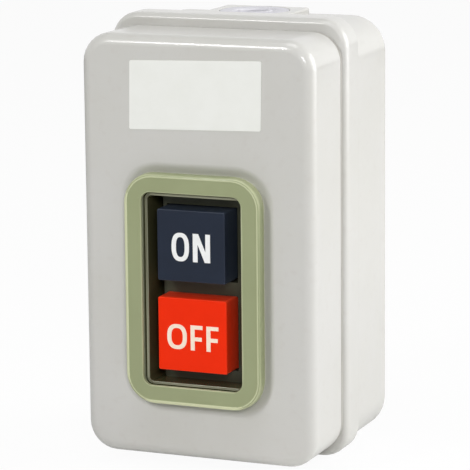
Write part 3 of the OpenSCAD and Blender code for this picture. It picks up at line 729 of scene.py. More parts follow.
@dataclass
class Spring:
    """A compression spring along Y with closed ends, as one round wire."""

    radius: float
    wire: float
    start: float
    end: float
    turns: float
    closed_turns: float = 0.9
    closed_pitch: float = 1.12
    steps_per_turn: int = 28
    wire_sides: int = 10

    def path(self) -> list[Vector]:
        """Draws the wire's middle line, its end turns lying close.

        Returns:
            The line's points, round an axis at X and Z zero.
        """
        low, high = self.start + self.wire / 2, self.end - self.wire / 2
        count = round(self.turns * self.steps_per_turn)
        rise = self.wire * self.closed_pitch
        points = []
        for i in range(count + 1):
            turn = self.turns * i / count
            first = min(turn, self.closed_turns) * rise
            last = max(turn - self.turns + self.closed_turns, 0.0) * rise
            live = min(max(turn - self.closed_turns, 0.0), self.turns - 2 * self.closed_turns)
            free = high - low - 2 * self.closed_turns * rise
            depth = low + first + last + free * live / (self.turns - 2 * self.closed_turns)
            angle = 2 * math.pi * turn
            points.append(Vector((self.radius * math.cos(angle), depth, self.radius * math.sin(angle))))
        return points

    def mesh(self, x: float, z: float, frame: Matrix | None = None) -> Mesh:
        """Sweeps the wire.

        Args:
            x: The coil's axis in X.
            z: The coil's axis in Z.
            frame: Where the coil's own space lies, if its axis isn't along Y.

        Returns:
            The spring as one closed mesh.
        """
        along = Vector((0.0, 1.0, 0.0))
        angles = [2 * math.pi * i / self.wire_sides for i in range(self.wire_sides)]
        loops = []
        for point in self.path():
            out = Vector((point.x, 0.0, point.z)).normalized()
            spot = point + Vector((x, 0.0, z))
            loops.append([spot + self.wire / 2 * (math.cos(a) * out + math.sin(a) * along) for a in angles])
        return skin(loops, Ends.CAPPED, frame)


@dataclass
class Assembly:
    """What the sub-assemblies share: the palette, and how a piece is dressed and placed."""

    palette: Palette

    def place(
        self,
        piece: Piece,
        body: str,
        *nodes: str,
        slot: str | None = None,
        look: str | None = None,
        crease_deg: float = 34.0,
    ) -> Piece:
        """Dresses a new piece, has it ride on a body and stand for its nodes.

        It is shaded smooth, and its creases stay sharp and its flat faces flat.

        Args:
            piece: The piece, in its place.
            body: The CAD body that it moves with.
            *nodes: The CAD nodes that it stands for.
            slot: The record's slot of its finish, where it stands for no node.
            look: The finish it really gets, where that isn't the slot's own.
            crease_deg: The angle from which an edge stays sharp.

        Returns:
            The piece.
        """
        slot = slot or self.palette.slot_of[nodes[0]]
        piece.data.materials.clear()
        piece.data.materials.append(self.palette.material(look or slot))
        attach(piece, body)
        if nodes:
            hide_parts(*nodes)
        piece.data.shade_smooth()
        piece.data.set_sharp_from_angle(angle=math.radians(crease_deg))
        weigh = piece.modifiers.new("level_faces", "WEIGHTED_NORMAL")
        weigh.keep_sharp = True
        LOG.info("%s rides on %s, stands for %s", piece.name, body, ", ".join(nodes) or "no node")
        return piece

    def coil(self, name: str, body: str, node: str, radius: float, wire: float, turns: float) -> Piece:
        """Builds a node's compression spring, as long as the node's box and in its middle.

        Args:
            name: The piece's name.
            body: The CAD body that it moves with.
            node: The spring's node.
            radius: The coil's radius, to the middle of the wire.
            wire: The wire's thickness.
            turns: How many turns it has.

        Returns:
            The spring.
        """
        span = Span.of(node)
        mesh = Spring(radius, wire, span.low.y, span.high.y, turns).mesh(span.middle.x, span.middle.z)
        return self.place(solid(name, mesh), body, node, crease_deg=WIRE_CREASE_DEG)


@dataclass
class Cover(Assembly):
    """The painted front shell and the bare label on it.

    A field whose name ends in loops says where extra loops keep a flat face flat beside a bend.
    """

    corner_radius: float = 10.0
    edge_radius: float = 4.0
    side_loops_radii: float = 3.0
    face_loops_radii: Pair = (1.5, 2.5)
    wall: float = 1.5
    hem: float = 0.9
    hem_depth: float = 2.4
    hem_edge: float = 0.4
    seat_reach: float = 3.2
    seat_margin: float = 0.3
    seat_steps: int = 8
    window_gap: float = 0.8
    window_radius: float = 2.4
    window_edge: float = 0.15
    window_flat: float = 1.5
    label_radius: float = 0.6
    label_edge: float = 0.06
    label_loops: Pair = (1.0, 4.0)
    label_turn_deg: float = 1.8
    label_lean_deg: float = 1.1

    def shell(self) -> Mesh:
        """Makes the shell: rolled back edge, drawn front edges, the bezel's dished seat and the window.

        Returns:
            The shell's mesh.
        """
        span, tube = Span.of("front_cover"), Span.of("well_liner")
        front, back, edge, wall = span.low.y, span.high.y, self.edge_radius, self.wall
        near, far = (share * edge for share in self.face_loops_radii)
        outer = span.outline(self.corner_radius)
        overlap = 2 * (Well.flange_width - self.window_gap)
        width, height = tube.size.x - overlap, tube.size.z - overlap
        window = Outline(width, height, self.window_radius, tube.middle.x, tube.middle.z)
        outside = [(self.hem, back), *bend((self.hem, back), (0.0, back - self.hem_depth), Turn.ACROSS, 6)]
        outside += [(0.0, front + self.side_loops_radii * edge), (0.0, front + edge)]
        outside += bend(outside[-1], (edge, front), Turn.ALONG, 12) + [(near, front), (far, front)]
        reach, floor = self.seat_reach, front + Well.seat_depth
        under = Well.foot_inset + self.seat_margin
        shares = [i / self.seat_steps for i in range(self.seat_steps + 1)]
        sink = [Well.seat_depth * math.sin(math.radians(90 * share)) ** 2 for share in shares]
        dish = [(-reach + (reach + under) * share, front + depth) for share, depth in zip(shares, sink)]
        seat = Span.of("bezel").outline(Well.bezel_radius).loops(dish)
        rim = [(-self.window_flat, floor), (-self.window_edge, floor)]
        rim += bend(rim[-1], (0.0, floor + self.window_edge), Turn.ACROSS, 3) + [(0.0, front + wall)]
        inside = [(near, front + wall), (edge, front + wall)]
        inside += bend(inside[-1], (wall, front + wall + (edge - wall)), Turn.ACROSS, 8)
        inside += [(wall, back - self.hem_edge)]
        inside += bend(inside[-1], (wall - self.hem_edge, back), Turn.ALONG, 3)
        return skin(outer.loops(outside) + seat + window.loops(rim) + outer.loops(inside), Ends.JOINED)

    def label(self) -> Mesh:
        """Makes the label: a thin film with softened edges, cut a little out of square.

        Returns:
            The label's mesh.
        """
        span = Span.of("label_plate")
        front, back, edge = span.low.y, span.high.y, self.label_edge
        film = [(0.0, back), (0.0, front + edge)]
        film += bend(film[-1], (edge, front), Turn.ALONG, 3) + [(inset, front) for inset in self.label_loops]
        rise, lean = (math.tan(math.radians(angle)) for angle in (self.label_turn_deg, self.label_lean_deg))
        cut = Matrix(((1.0, 0.0, lean, 0.0), (0.0, 1.0, 0.0, 0.0), (rise, 0.0, 1.0, 0.0), (0.0, 0.0, 0.0, 1.0)))
        outline = Outline(span.size.x, span.size.z, self.label_radius)
        return skin(outline.loops(film), Ends.CAPPED, placed((span.middle.x, 0.0, span.middle.z)) @ cut)

    def build(self) -> None:
        """Builds both pieces."""
        self.place(solid("cover_shell", self.shell()), "case", "front_cover")
        self.place(solid("label_film", self.label()), "case", "label_plate")


@dataclass
class RearCase(Assembly):
    """The painted rear shell: rim band, locating lip, entry pads, posts, and what seals its openings.

    The bushing's face is drawn as steps outwards from its hole and inwards from its rim, each
    with its depth below the pad.
    """

    rim: Outline = Outline(85.8, 149.8, 9.5, z=0.6)
    body: Outline = Outline(84.8, 146.0, 12.0, z=-0.5)
    cavity: Outline = Outline(80.0, 141.2, 9.6, z=-0.5)
    lip: Outline = Outline(79.4, 139.4, 8.2)
    ledge: Outline = Outline(77.0, 137.0, 7.0)
    lip_height: float = 3.0
    lip_edge: float = 0.3
    rim_depth: float = 11.6
    rim_edge: float = 1.9
    rim_edge_depth: float = 2.8
    step_edge: float = 1.1
    step_depth: float = 0.85
    ledge_depth: float = 3.0
    back_edge: float = 4.4
    side_loops_radii: float = 3.0
    back_loops_radii: float = 2.0
    wall: float = 2.4
    floor_inset: float = 3.0
    drill_end: float = 1.0
    wall_hole: float = 5.5
    wall_hole_pitch: float = 125.0
    entry_hole: float = 20.0
    entry_counterbore: float = 24.4
    entry_counter_depth: float = 1.4
    entry_chamfer: float = 0.25
    pad: Outline = Outline(31.0, 26.0, 1.5)
    pad_height: float = 2.2
    pad_edge: float = 0.6
    pad_root: float = 0.5
    screw_hole: float = 4.4
    screw_hole_depth: float = 5.0
    screw_counterbore: float = 7.8
    screw_counter_depth: float = 1.4
    base_post: float = 9.0
    base_post_hole: float = 3.54
    base_screw_head: float = 6.0
    earth_post: float = 8.0
    earth_post_hole: float = 4.04
    post_edge: float = 0.4
    cable_hole: float = 9.0
    cable_hole_edge: float = 0.4
    bushing_play: float = 0.2
    bushing_flange: float = 25.0
    bushing_flange_height: float = 1.5
    bushing_flange_edges: Pair = (0.3, 0.5)
    bushing_out: tuple[Pair, ...] = (
        (0.0, 0.5), (0.3, 0.1), (0.8, 0.0), (1.4, 0.15), (1.7, 0.5), (2.6, 0.5), (2.9, 0.15), (3.4, 0.0),
    )
    bushing_in: tuple[Pair, ...] = ((0.6, 0.0), (0.15, 0.15), (0.0, 0.5))
    round_sides: int = 64
    seal_radius: float = 9.7
    seal_edge: float = 0.35
    seal_width: float = 1.4

    def shell(self) -> Mesh:
        """Makes the shell as one row of loops from the inside of the back to its outside.

        Returns:
            The shell's mesh, with its holes.
        """
        lip_front, edge = Span.of("rear_case").low.y, self.lip_edge
        rim_front = lip_front + self.lip_height
        rim_back = rim_front + self.rim_depth
        ledge_back = rim_front + self.ledge_depth
        inside = self.cavity.loops([(self.floor_inset, -self.wall), (0.0, -self.wall), (0.0, ledge_back)])
        throat = [(0.0, ledge_back), (0.0, lip_front + edge)]
        throat += bend(throat[-1], (-edge, lip_front), Turn.ALONG, 3)
        lip = [(edge, lip_front), *bend((edge, lip_front), (0.0, lip_front + edge), Turn.ACROSS, 3)]
        lip += [(0.0, rim_front)]
        band = [(self.rim_edge, rim_front)]
        band += bend(band[-1], (0.0, rim_front + self.rim_edge_depth), Turn.ACROSS, 8)
        band += [(0.0, rim_back - self.step_edge)]
        band += bend(band[-1], (self.step_depth, rim_back), Turn.ALONG, 5)
        groove = self.step_depth - (self.rim.width - self.body.width) / 2
        outside = bend((groove, rim_back), (0.0, rim_back + self.step_edge), Turn.ACROSS, 4)
        outside += [(0.0, -self.side_loops_radii * self.back_edge), (0.0, -self.back_edge)]
        outside += bend(outside[-1], (self.back_edge, 0.0), Turn.ALONG, 10)
        outside += [(self.back_loops_radii * self.back_edge, 0.0)]
        loops = inside + self.ledge.loops(throat) + self.lip.loops(lip)
        loops += self.rim.loops(band) + self.body.loops(outside)
        return bored(skin(loops, Ends.CAPPED), self.drills(rim_front))

    def drills(self, rim_front: float) -> list[Mesh]:
        """Makes what the shell's holes take away.

        Args:
            rim_front: The plane of the rim's front edge.

        Returns:
            One closed mesh for each hole.
        """
        tools, hole, entry, end = [], self.wall_hole / 2, self.entry_hole / 2, self.drill_end
        for side in (1, -1):
            z = side * self.wall_hole_pitch / 2
            tools.append(skin(turned([(hole, -2 * self.wall), (hole, end)], z=z), Ends.CAPPED))
            rings = turned([(entry, -end), (entry, self.pad_height + self.wall + end)], sides=self.round_sides)
            tools.append(skin(rings, Ends.CAPPED, self.entry_frame(side)))
        frame = placed((0.0, rim_front + self.rim_depth / 2, self.rim.z - self.rim.height / 2), 90)
        wide, narrow, step = self.screw_counterbore / 2, self.screw_hole / 2, self.screw_counter_depth
        profile = [(wide, -end), (wide, step), (narrow, step), (narrow, self.screw_hole_depth)]
        tools.append(skin(turned(profile), Ends.CAPPED, frame))
        return tools

    def entry_frame(self, side: int) -> Matrix:
        """Finds the space of a cable entry, whose -Y points out of the pad.

        Args:
            side: 1 for the top and -1 for the bottom.

        Returns:
            The matrix from that space to the row's, in metres.
        """
        span = Span.of("grommet_top" if side > 0 else "grommet_bottom")
        z = self.body.z + side * (self.body.height / 2 + self.pad_height)
        return placed((0.0, span.middle.y, z), -90 * side)

    def entry_pad(self, side: int) -> Mesh:
        """Makes the raised pad round a cable entry, with its counterbore.

        Args:
            side: 1 for the top and -1 for the bottom.

        Returns:
            The pad's mesh.
        """
        root, edge, chamfer = self.pad_height + self.pad_root, self.pad_edge, self.entry_chamfer
        wide, bore, step = self.entry_counterbore, self.entry_hole, self.entry_counter_depth
        loops = self.pad.loops([(0.0, root), (0.0, edge), *bend((0.0, edge), (edge, 0.0), Turn.ALONG, 4)])
        rings = ((wide + 2 * chamfer, 0.0), (wide, chamfer), (wide, step), (bore, step), (bore, root))
        loops += [self.pad.circle(diameter, depth) for diameter, depth in rings]
        return skin(loops, Ends.JOINED, self.entry_frame(side))

    def post(self, x: float, z: float, diameter: float, hole: float, front: float) -> Mesh:
        """Makes a post on the inside of the back, bored for its screw.

        Args:
            x: The post's place in X.
            z: Its place in Z.
            diameter: Its diameter.
            hole: The diameter of its bore.
            front: The plane of its front face.

        Returns:
            The post's mesh.
        """
        r, h, edge = diameter / 2, hole / 2, self.post_edge
        rings = [(r, -self.wall / 2), (r, front + edge), (r - edge, front), (h + edge, front), (h, front + edge)]
        rings += [(h, -self.wall / 2)]
        return skin(turned(rings, x, z), Ends.JOINED)

    def bushing(self, side: int) -> Mesh:
        """Makes a cable bushing: flush outer flange with a stepped membrane ring, neck and inner flange.

        Args:
            side: 1 for the top and -1 for the bottom.

        Returns:
            The bushing's mesh.
        """
        hole, neck = self.cable_hole / 2, self.entry_hole / 2 - self.bushing_play
        rim, wall = self.entry_counterbore / 2 - self.bushing_play, self.pad_height + self.wall
        inner, end = self.bushing_flange / 2, wall + self.bushing_flange_height
        fine, coarse = self.bushing_flange_edges
        rings = [(hole, end - self.cable_hole_edge), *((hole + out, depth) for out, depth in self.bushing_out)]
        rings += [(rim - inwards, depth) for inwards, depth in self.bushing_in]
        rings += [(rim, self.entry_counter_depth), (neck, self.entry_counter_depth), (neck, wall)]
        rings += [(inner - fine, wall), (inner, wall + fine), (inner, end - coarse), (inner - coarse, end)]
        rings += [(hole + self.cable_hole_edge, end)]
        return skin(turned(rings, sides=self.round_sides), Ends.JOINED, self.entry_frame(side))

    def seal(self) -> Mesh:
        """Makes the seal: a sponge ring with a rounded outer edge.

        Returns:
            The seal's mesh.
        """
        span = Span.of("case_gasket")
        front, back, edge, inner = span.low.y, span.high.y, self.seal_edge, self.seal_width
        ring = [(inner, back), (edge, back), *bend((edge, back), (0.0, back - edge), Turn.ACROSS, 4)]
        ring += [(0.0, front + edge), *bend((0.0, front + edge), (edge, front), Turn.ALONG, 4), (inner, front)]
        return skin(span.outline(self.seal_radius).loops(ring), Ends.JOINED)

    def build(self) -> None:
        """Builds the shell with its pads and posts, the seal and the bushings."""
        meshes = [self.shell(), self.entry_pad(1), self.entry_pad(-1)]
        screws, base, head = Span.of("base_screws"), Span.of("switch_base"), self.base_screw_head / 2
        for x in (screws.low.x + head, screws.high.x - head):
            for z in (screws.low.z + head, screws.high.z - head):
                meshes.append(self.post(x, z, self.base_post, self.base_post_hole, base.high.y))
        earth = Span.of("earth_clamp")
        x, z = earth.middle.x, earth.middle.z
        meshes.append(self.post(x, z, self.earth_post, self.earth_post_hole, earth.high.y))
        self.place(solid("rear_shell", joined(meshes)), "case", "rear_case")
        self.place(solid("seam_seal", self.seal()), "case", "case_gasket")
        for side, end in ((1, "top"), (-1, "bottom")):
            self.place(solid(f"bushing_{end}", self.bushing(side)), "case", f"grommet_{end}")


@dataclass
class Well(Assembly):
    """The moulded bezel on the cover and the polished collar that lines the well.

    A field whose name ends in loops says where extra loops keep a flat face flat beside an edge.
    """

    flange_width: float = 2.0
    seat_depth: float = 1.3
    bezel_radius: float = 10.5
    foot_inset: float = 1.1
    foot_height: float = 0.9
    foot_round: float = 0.5
    side_inset: float = 0.2
    side_taper: float = 0.1
    brow_depth: float = 1.2
    opening_inset: float = 6.85
    opening_end_inset: float = 6.6
    opening_shift: float = -0.25
    opening_radius: float = 3.2
    crest_inset: float = 1.1
    crest_width: float = 0.4
    crest_height: float = 0.12
    crest_ramps: Pair = (0.12, 0.15)
    face_loops: Pair = (0.5, 1.6)
    opening_loops: Pair = (2.2, 0.9)
    inner_edge: float = 0.35
    inner_edge_depth: float = 1.1
    undercut: float = 1.3
    undercut_slope: float = 0.4
    flange_radius: float = 4.0
    flange_play: float = 0.1
    flange_margin: float = 0.3
    tube: Outline = Outline(35.4, 65.2, 2.4, 0.35, -13.05)
    tube_wall: float = 1.0
    tube_end: float = 0.4
    tube_outer_loops: float = 0.3
    tube_inner_loops: Pair = (0.25, 0.7)
    lip_edge: float = 0.28
    flange_depth: float = 1.0
    crease_deg: float = 50.0

    def bezel(self) -> Mesh:
        """Makes the bezel: undercut foot, steep side, fine raised crest, flat face and open middle.

        Returns:
            The bezel's mesh.
        """
        span = Span.of("bezel")
        front, back, crest = span.low.y, span.high.y, self.crest_inset
        face, floor = front + self.crest_height, back + self.seat_depth
        width, height = span.size.x - 2 * self.opening_inset, span.size.z - 2 * self.opening_end_inset
        opening = Outline(width, height, self.opening_radius, self.opening_shift, span.middle.z)
        step, side, turn = back - self.foot_height, self.side_inset, self.foot_round
        rising, falling = self.crest_ramps
        around = [(self.foot_inset, floor), (self.foot_inset, step), (side + turn, step)]
        around += bend(around[-1], (side, step - turn), Turn.ACROSS, 8)
        around += [(side + self.side_taper, front + self.brow_depth)]
        around += bend(around[-1], (crest - rising, face), Turn.ALONG, 7)
        crest_end, (near, far) = crest + self.crest_width, self.face_loops
        around += [(crest, front), (crest_end, front), (crest_end + falling, face)]
        around += [(crest_end + near, face), (crest + far, face)]
        edge, lid = self.inner_edge, face + self.inner_edge_depth
        inside = [*((-inset, face) for inset in self.opening_loops), (-edge, face)]
        inside += bend(inside[-1], (0.0, face + edge), Turn.ACROSS, 4)
        clear, outer = back - self.flange_depth - self.flange_play, -self.flange_width - self.flange_margin
        inside += [(0.0, lid), (-self.undercut, lid + self.undercut_slope), (-self.undercut, clear)]
        inside += [(outer, clear), (outer, back)]
        return skin(span.outline(self.bezel_radius).loops(around) + opening.loops(inside), Ends.JOINED)

    def collar(self) -> Mesh:
        """Makes the collar: clamped flange, rounded lip inside the bezel, and the long wall.

        Returns:
            The collar's mesh.
        """
        span = Span.of("well_liner")
        flange_back = Span.of("bezel").high.y
        flange_front = flange_back - self.flange_depth
        front, back, wall, edge = span.low.y, span.high.y, self.tube_wall, self.lip_edge
        clamped = span.outline(self.flange_radius).loops([(0.0, flange_back), (0.0, flange_front)])
        around = [(0.0, flange_front), (0.0, front + edge + self.tube_outer_loops), (0.0, front + edge)]
        around += bend(around[-1], (edge, front), Turn.ALONG, 4) + [(wall - edge, front)]
        around += bend(around[-1], (wall, front + edge), Turn.ACROSS, 4)
        around += [(wall, front + edge + behind) for behind in self.tube_inner_loops]
        end = back - self.tube_end
        around += [(wall, end), (wall, back), (0.0, back), (0.0, end), (0.0, flange_back)]
        return skin(clamped + self.tube.loops(around), Ends.JOINED)

    def build(self) -> None:
        """Builds both pieces."""
        self.place(solid("bezel_frame", self.bezel()), "case", "bezel", crease_deg=self.crease_deg)
        self.place(solid("well_collar", self.collar()), "case", "well_liner", crease_deg=self.crease_deg)


@dataclass
class Letter:
    """One letter of a cap, standing on its base line with its left edge at zero."""

    width: float
    height: float
    stroke: float
    squareness: float = 2.5
    points: int = 56

    def ring(self, inset: float) -> Profile:
        """Draws the oval of an O.

        Args:
            inset: How far in from its outside.

        Returns:
            The oval's points.
        """
        a, b = self.width / 2 - inset, self.height / 2 - 0.9 * inset
        found = []
        for i in range(self.points):
            c, s = math.cos(2 * math.pi * i / self.points), math.sin(2 * math.pi * i / self.points)
            x = a * math.copysign(abs(c) ** (2 / self.squareness), c)
            z = b * math.copysign(abs(s) ** (2 / self.squareness), s)
            found.append((self.width / 2 + x, self.height / 2 + z))
        return found

    def paths(self, letter: str) -> list[Profile]:
        """Draws the letter.

        Args:
            letter: O, N or F.

        Returns:
            Its closed outlines, the outer one first.
        """
        w, h, s = self.width, self.height, self.stroke
        if letter == "O":
            return [self.ring(0.0), self.ring(s)]
        if letter == "N":
            slant, knee = 1.18 * s, 0.34 * h
            left = [(0, 0), (0, h), (slant, h), (w - s, knee)]
            return [left + [(w - s, h), (w, h), (w, 0), (w - slant, 0), (s, h - knee), (s, 0)]]
        bar, low, arm = 0.9 * s, 0.38 * h, 0.93 * w
        top = [(0, 0), (0, h), (w, h), (w, h - bar), (s, h - bar)]
        return [top + [(s, low + bar), (arm, low + bar), (arm, low), (s, low), (s, 0)]]


@dataclass(frozen=True)
class Trim:
    """How far a cap's sides stand in from its square in the frame, by its size and its play in the window."""

    left: float
    right: float
    low: float
    high: float

    def outline(self, span: Span, radius: float) -> Outline:
        """Trims a square.

        Args:
            span: The square's box.
            radius: The corners' radius.

        Returns:
            The trimmed square.
        """
        width, height = span.size.x - self.left - self.right, span.size.z - self.low - self.high
        x, z = span.middle.x + (self.left - self.right) / 2, span.middle.z + (self.low - self.high) / 2
        return Outline(width, height, radius, x, z)


@dataclass(frozen=True)
class Word:
    """A cap's word: its letters, the space between them, their paint and where the word lies."""

    letters: tuple[tuple[str, Letter], ...]
    gap: float
    ink: Ink
    shift: float
    drop: float


# The caps' words and trims, each under the start of its nodes' and pieces' names.
OFF_O, OFF_F = ("O", Letter(7.0, 8.45, 1.38)), ("F", Letter(4.25, 8.45, 1.38))
WORDS: dict[str, Word] = {
    "on": Word((("O", Letter(6.2, 9.5, 1.5)), ("N", Letter(6.1, 9.45, 1.6))), 1.45, Ink.WHITE, -0.33, 0.0),
    "off": Word((OFF_O, OFF_F, OFF_F), 1.45, Ink.CREAM, 0.0, 0.38),
}
TRIMS: dict[str, Trim] = {"on": Trim(-0.1, 0.6, 0.7, 0.0), "off": Trim(-0.15, 0.25, 0.35, -0.35)}


@dataclass
class Buttons(Assembly):
    """The two square caps with their inlaid letters, and the springs behind them.

    The crown's shares say where its loops lie, from the cap's rim to its middle. The ceiling's
    reach is a share of the cap's half width, and the boss roots that share of the wall deep.
    """

    corner_radius: float = 0.6
    edge_radius: float = 0.4
    crown: float = 0.12
    crown_shares: tuple[float, ...] = (0.8, 0.6, 0.42, 0.28, 0.17, 0.1)
    crown_at_edge: float = 0.9
    wall: float = 1.8
    inner_edge: float = 0.4
    ceiling_reach: float = 0.8
    skirt_edge: float = 0.3
    skirt_land: float = 0.2
    boss: float = 11.0
    boss_root: float = 0.8
    boss_short: float = 1.5
    letter_proud: float = 0.05
    letter_sunk: float = 0.4
    letter_edge: float = 0.05
    letter_crease_deg: float = 20.0
    spring_wire: float = 0.8
    spring_radius: float = 4.6
    spring_turns: float = 6.5
    travel: float = 5.0

    def cap(self, node: str, plunger: str, trim: Trim) -> Mesh:
        """Makes a hollow cap with a slightly crowned face and the boss for its plunger.

        Args:
            node: The cap's node.
            plunger: The node of the rod in its boss.
            trim: How far its sides stand in.

        Returns:
            The cap's mesh.
        """
        span, rod, soft = Span.of(node), Span.of(plunger), self.skirt_edge
        front, back, edge, wall = span.low.y, span.high.y, self.edge_radius, self.wall
        reach = (span.size.x - trim.left - trim.right) / 2
        outside = [(reach * share, front + self.crown * (1 - share) ** 2) for share in self.crown_shares]
        outside += [(edge, front + self.crown_at_edge * self.crown)]
        outside += bend(outside[-1], (0.0, front + self.crown + edge), Turn.ACROSS, 6)
        outside += [(0.0, back - soft), (soft, back), (wall - self.skirt_land, back)]
        inside = [(wall, back - soft), (wall, front + wall + self.inner_edge)]
        inside += [(wall + self.inner_edge, front + wall), (self.ceiling_reach * reach, front + wall)]
        shell = skin(trim.outline(span, self.corner_radius).loops(outside + inside), Ends.CAPPED)
        r, h, root, end = self.boss / 2, rod.size.x / 2, front + self.boss_root * wall, back - self.boss_short
        rings = [(r, root), (r, end - soft), (r - soft, end), (h + soft, end), (h, end - soft), (h, root)]
        return joined([shell, skin(turned(rings, span.middle.x, span.middle.z), Ends.JOINED)])

    def lettering(self, name: str, word: Word, node: str) -> Mesh:
        """Lays a word on a cap's face.

        Args:
            name: The word's name among the pieces.
            word: The word.
            node: The cap's node.

        Returns:
            The word as one mesh.
        """
        span = Span.of(node)
        full = sum(letter.width for _, letter in word.letters) + word.gap * (len(word.letters) - 1)
        curve = bpy.data.curves.new(name, "CURVE")
        curve.dimensions, curve.fill_mode = "2D", "BOTH"
        curve.extrude = (self.letter_proud + self.letter_sunk) / 2 * MM
        curve.bevel_depth, curve.bevel_resolution = self.letter_edge * MM, 1
        x = word.shift - full / 2
        for character, letter in word.letters:
            for path in letter.paths(character):
                line = curve.splines.new("POLY")
                line.points.add(len(path) - 1)
                for point, (px, pz) in zip(line.points, path):
                    point.co = ((x + px) * MM, (pz - letter.height / 2 - word.drop) * MM, 0.0, 1.0)
                line.use_cyclic_u = True
            x += letter.width + word.gap
        drawn = bpy.data.objects.new(name, curve)
        bpy.context.scene.collection.objects.link(drawn)
        depth = span.low.y + (self.letter_sunk - self.letter_proud) / 2
        drawn.matrix_world = placed((span.middle.x, depth, span.middle.z), 90)
        bpy.context.view_layer.update()
        mesh = baked(drawn)
        mesh.transform(drawn.matrix_world)
        bpy.data.objects.remove(drawn)
        return mesh

    def build(self) -> None:
        """Builds the caps, their words and their springs."""
        for key, word in WORDS.items():
            node, body = f"{key}_button", f"{key}_cap"
            self.place(solid(f"{key}_cap_moulding", self.cap(node, f"{key}_plunger", TRIMS[key])), body, node)
            inlay = solid(f"{key}_word", self.lettering(f"{key}_word", word, node))
            self.place(inlay, body, slot="label", look=word.ink.value, crease_deg=self.letter_crease_deg)
            node, sizes = f"{key}_spring", (self.spring_radius, self.spring_wire, self.spring_turns)
            coil = self.coil(f"{key}_return_spring", "case", node, *sizes)
            span = Span.of(node)
            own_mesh(coil)


@dataclass
class Switch(Assembly):
    """The works behind the buttons: springs as real coils, and the frame's own pieces in better dress."""

    contact_radius: float = 2.4
    contact_wire: float = 0.7
    contact_turns: float = 5.0
    carrier_radius: float = 2.3
    carrier_wire: float = 0.6
    carrier_turns: float = 6.0
    carrier_travel: float = 5.0
    latch_radius: float = 2.9
    latch_wire: float = 0.5
    latch_turns: float = 3.0
    latch_closed_turns: float = 0.1
    latch_relief: float = 0.4

    def carrier_springs(self) -> None:
        """Builds the two springs on the guide pins as one piece."""
        span = Span.of("carrier_springs")
        spring = Spring(self.carrier_radius, self.carrier_wire, span.low.y, span.high.y, self.carrier_turns)
        reach = self.carrier_radius + self.carrier_wire / 2
        mesh = joined([spring.mesh(x, span.middle.z) for x in (span.low.x + reach, span.high.x - reach)])
        coils = solid("carrier_return_springs", mesh)
        self.place(coils, "case", "carrier_springs", crease_deg=WIRE_CREASE_DEG)
        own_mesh(coils)

    def contact_springs(self) -> None:
        """Builds the three contact springs."""
        sizes = (self.contact_radius, self.contact_wire, self.contact_turns)
        for pole in (1, 2, 3):
            self.coil(f"bridge_spring_{pole}", "carrier", f"contact_spring_{pole}", *sizes)

    def latch_spring(self) -> None:
        """Builds the torsion spring on the latch lever's spool, ending clear of the lever's hook."""
        span = Span.of("latch_spring")
        sizes = (self.latch_radius, self.latch_wire, span.low.x, span.high.x - self.latch_relief, self.latch_turns)
        frame = placed((0.0, span.middle.y, span.middle.z), -90, "Z")
        mesh = Spring(*sizes, self.latch_closed_turns).mesh(0.0, 0.0, frame)
        coil = solid("latch_torsion_spring", mesh)
        self.place(coil, "case", "latch_spring", crease_deg=WIRE_CREASE_DEG)

    def dress_frame(self, nodes: dict[str, Piece]) -> None:
        """Gives every CAD node that still shows its finish.

        Args:
            nodes: The frame's nodes by name.
        """
        for name, node in nodes.items():
            if node.hide_render:
                continue
            material = self.palette.material(self.palette.slot_of[name])
            node.data.materials.clear()
            node.data.materials.append(material)
            LOG.info("%s keeps its CAD shape, in %s", name, material.name)

    def build(self, nodes: dict[str, Piece]) -> None:
        """Builds the springs and dresses the rest.

        Args:
            nodes: The frame's nodes by name.
        """
        self.carrier_springs()
        self.contact_springs()
        self.latch_spring()
        self.dress_frame(nodes)


@dataclass(frozen=True)
class Lamp:
    """One soft box, aimed at the object's middle, with its distance and size in metres."""

    name: str
    azimuth_deg: float
    elevation_deg: float
    distance: float
    size: float
    power: float


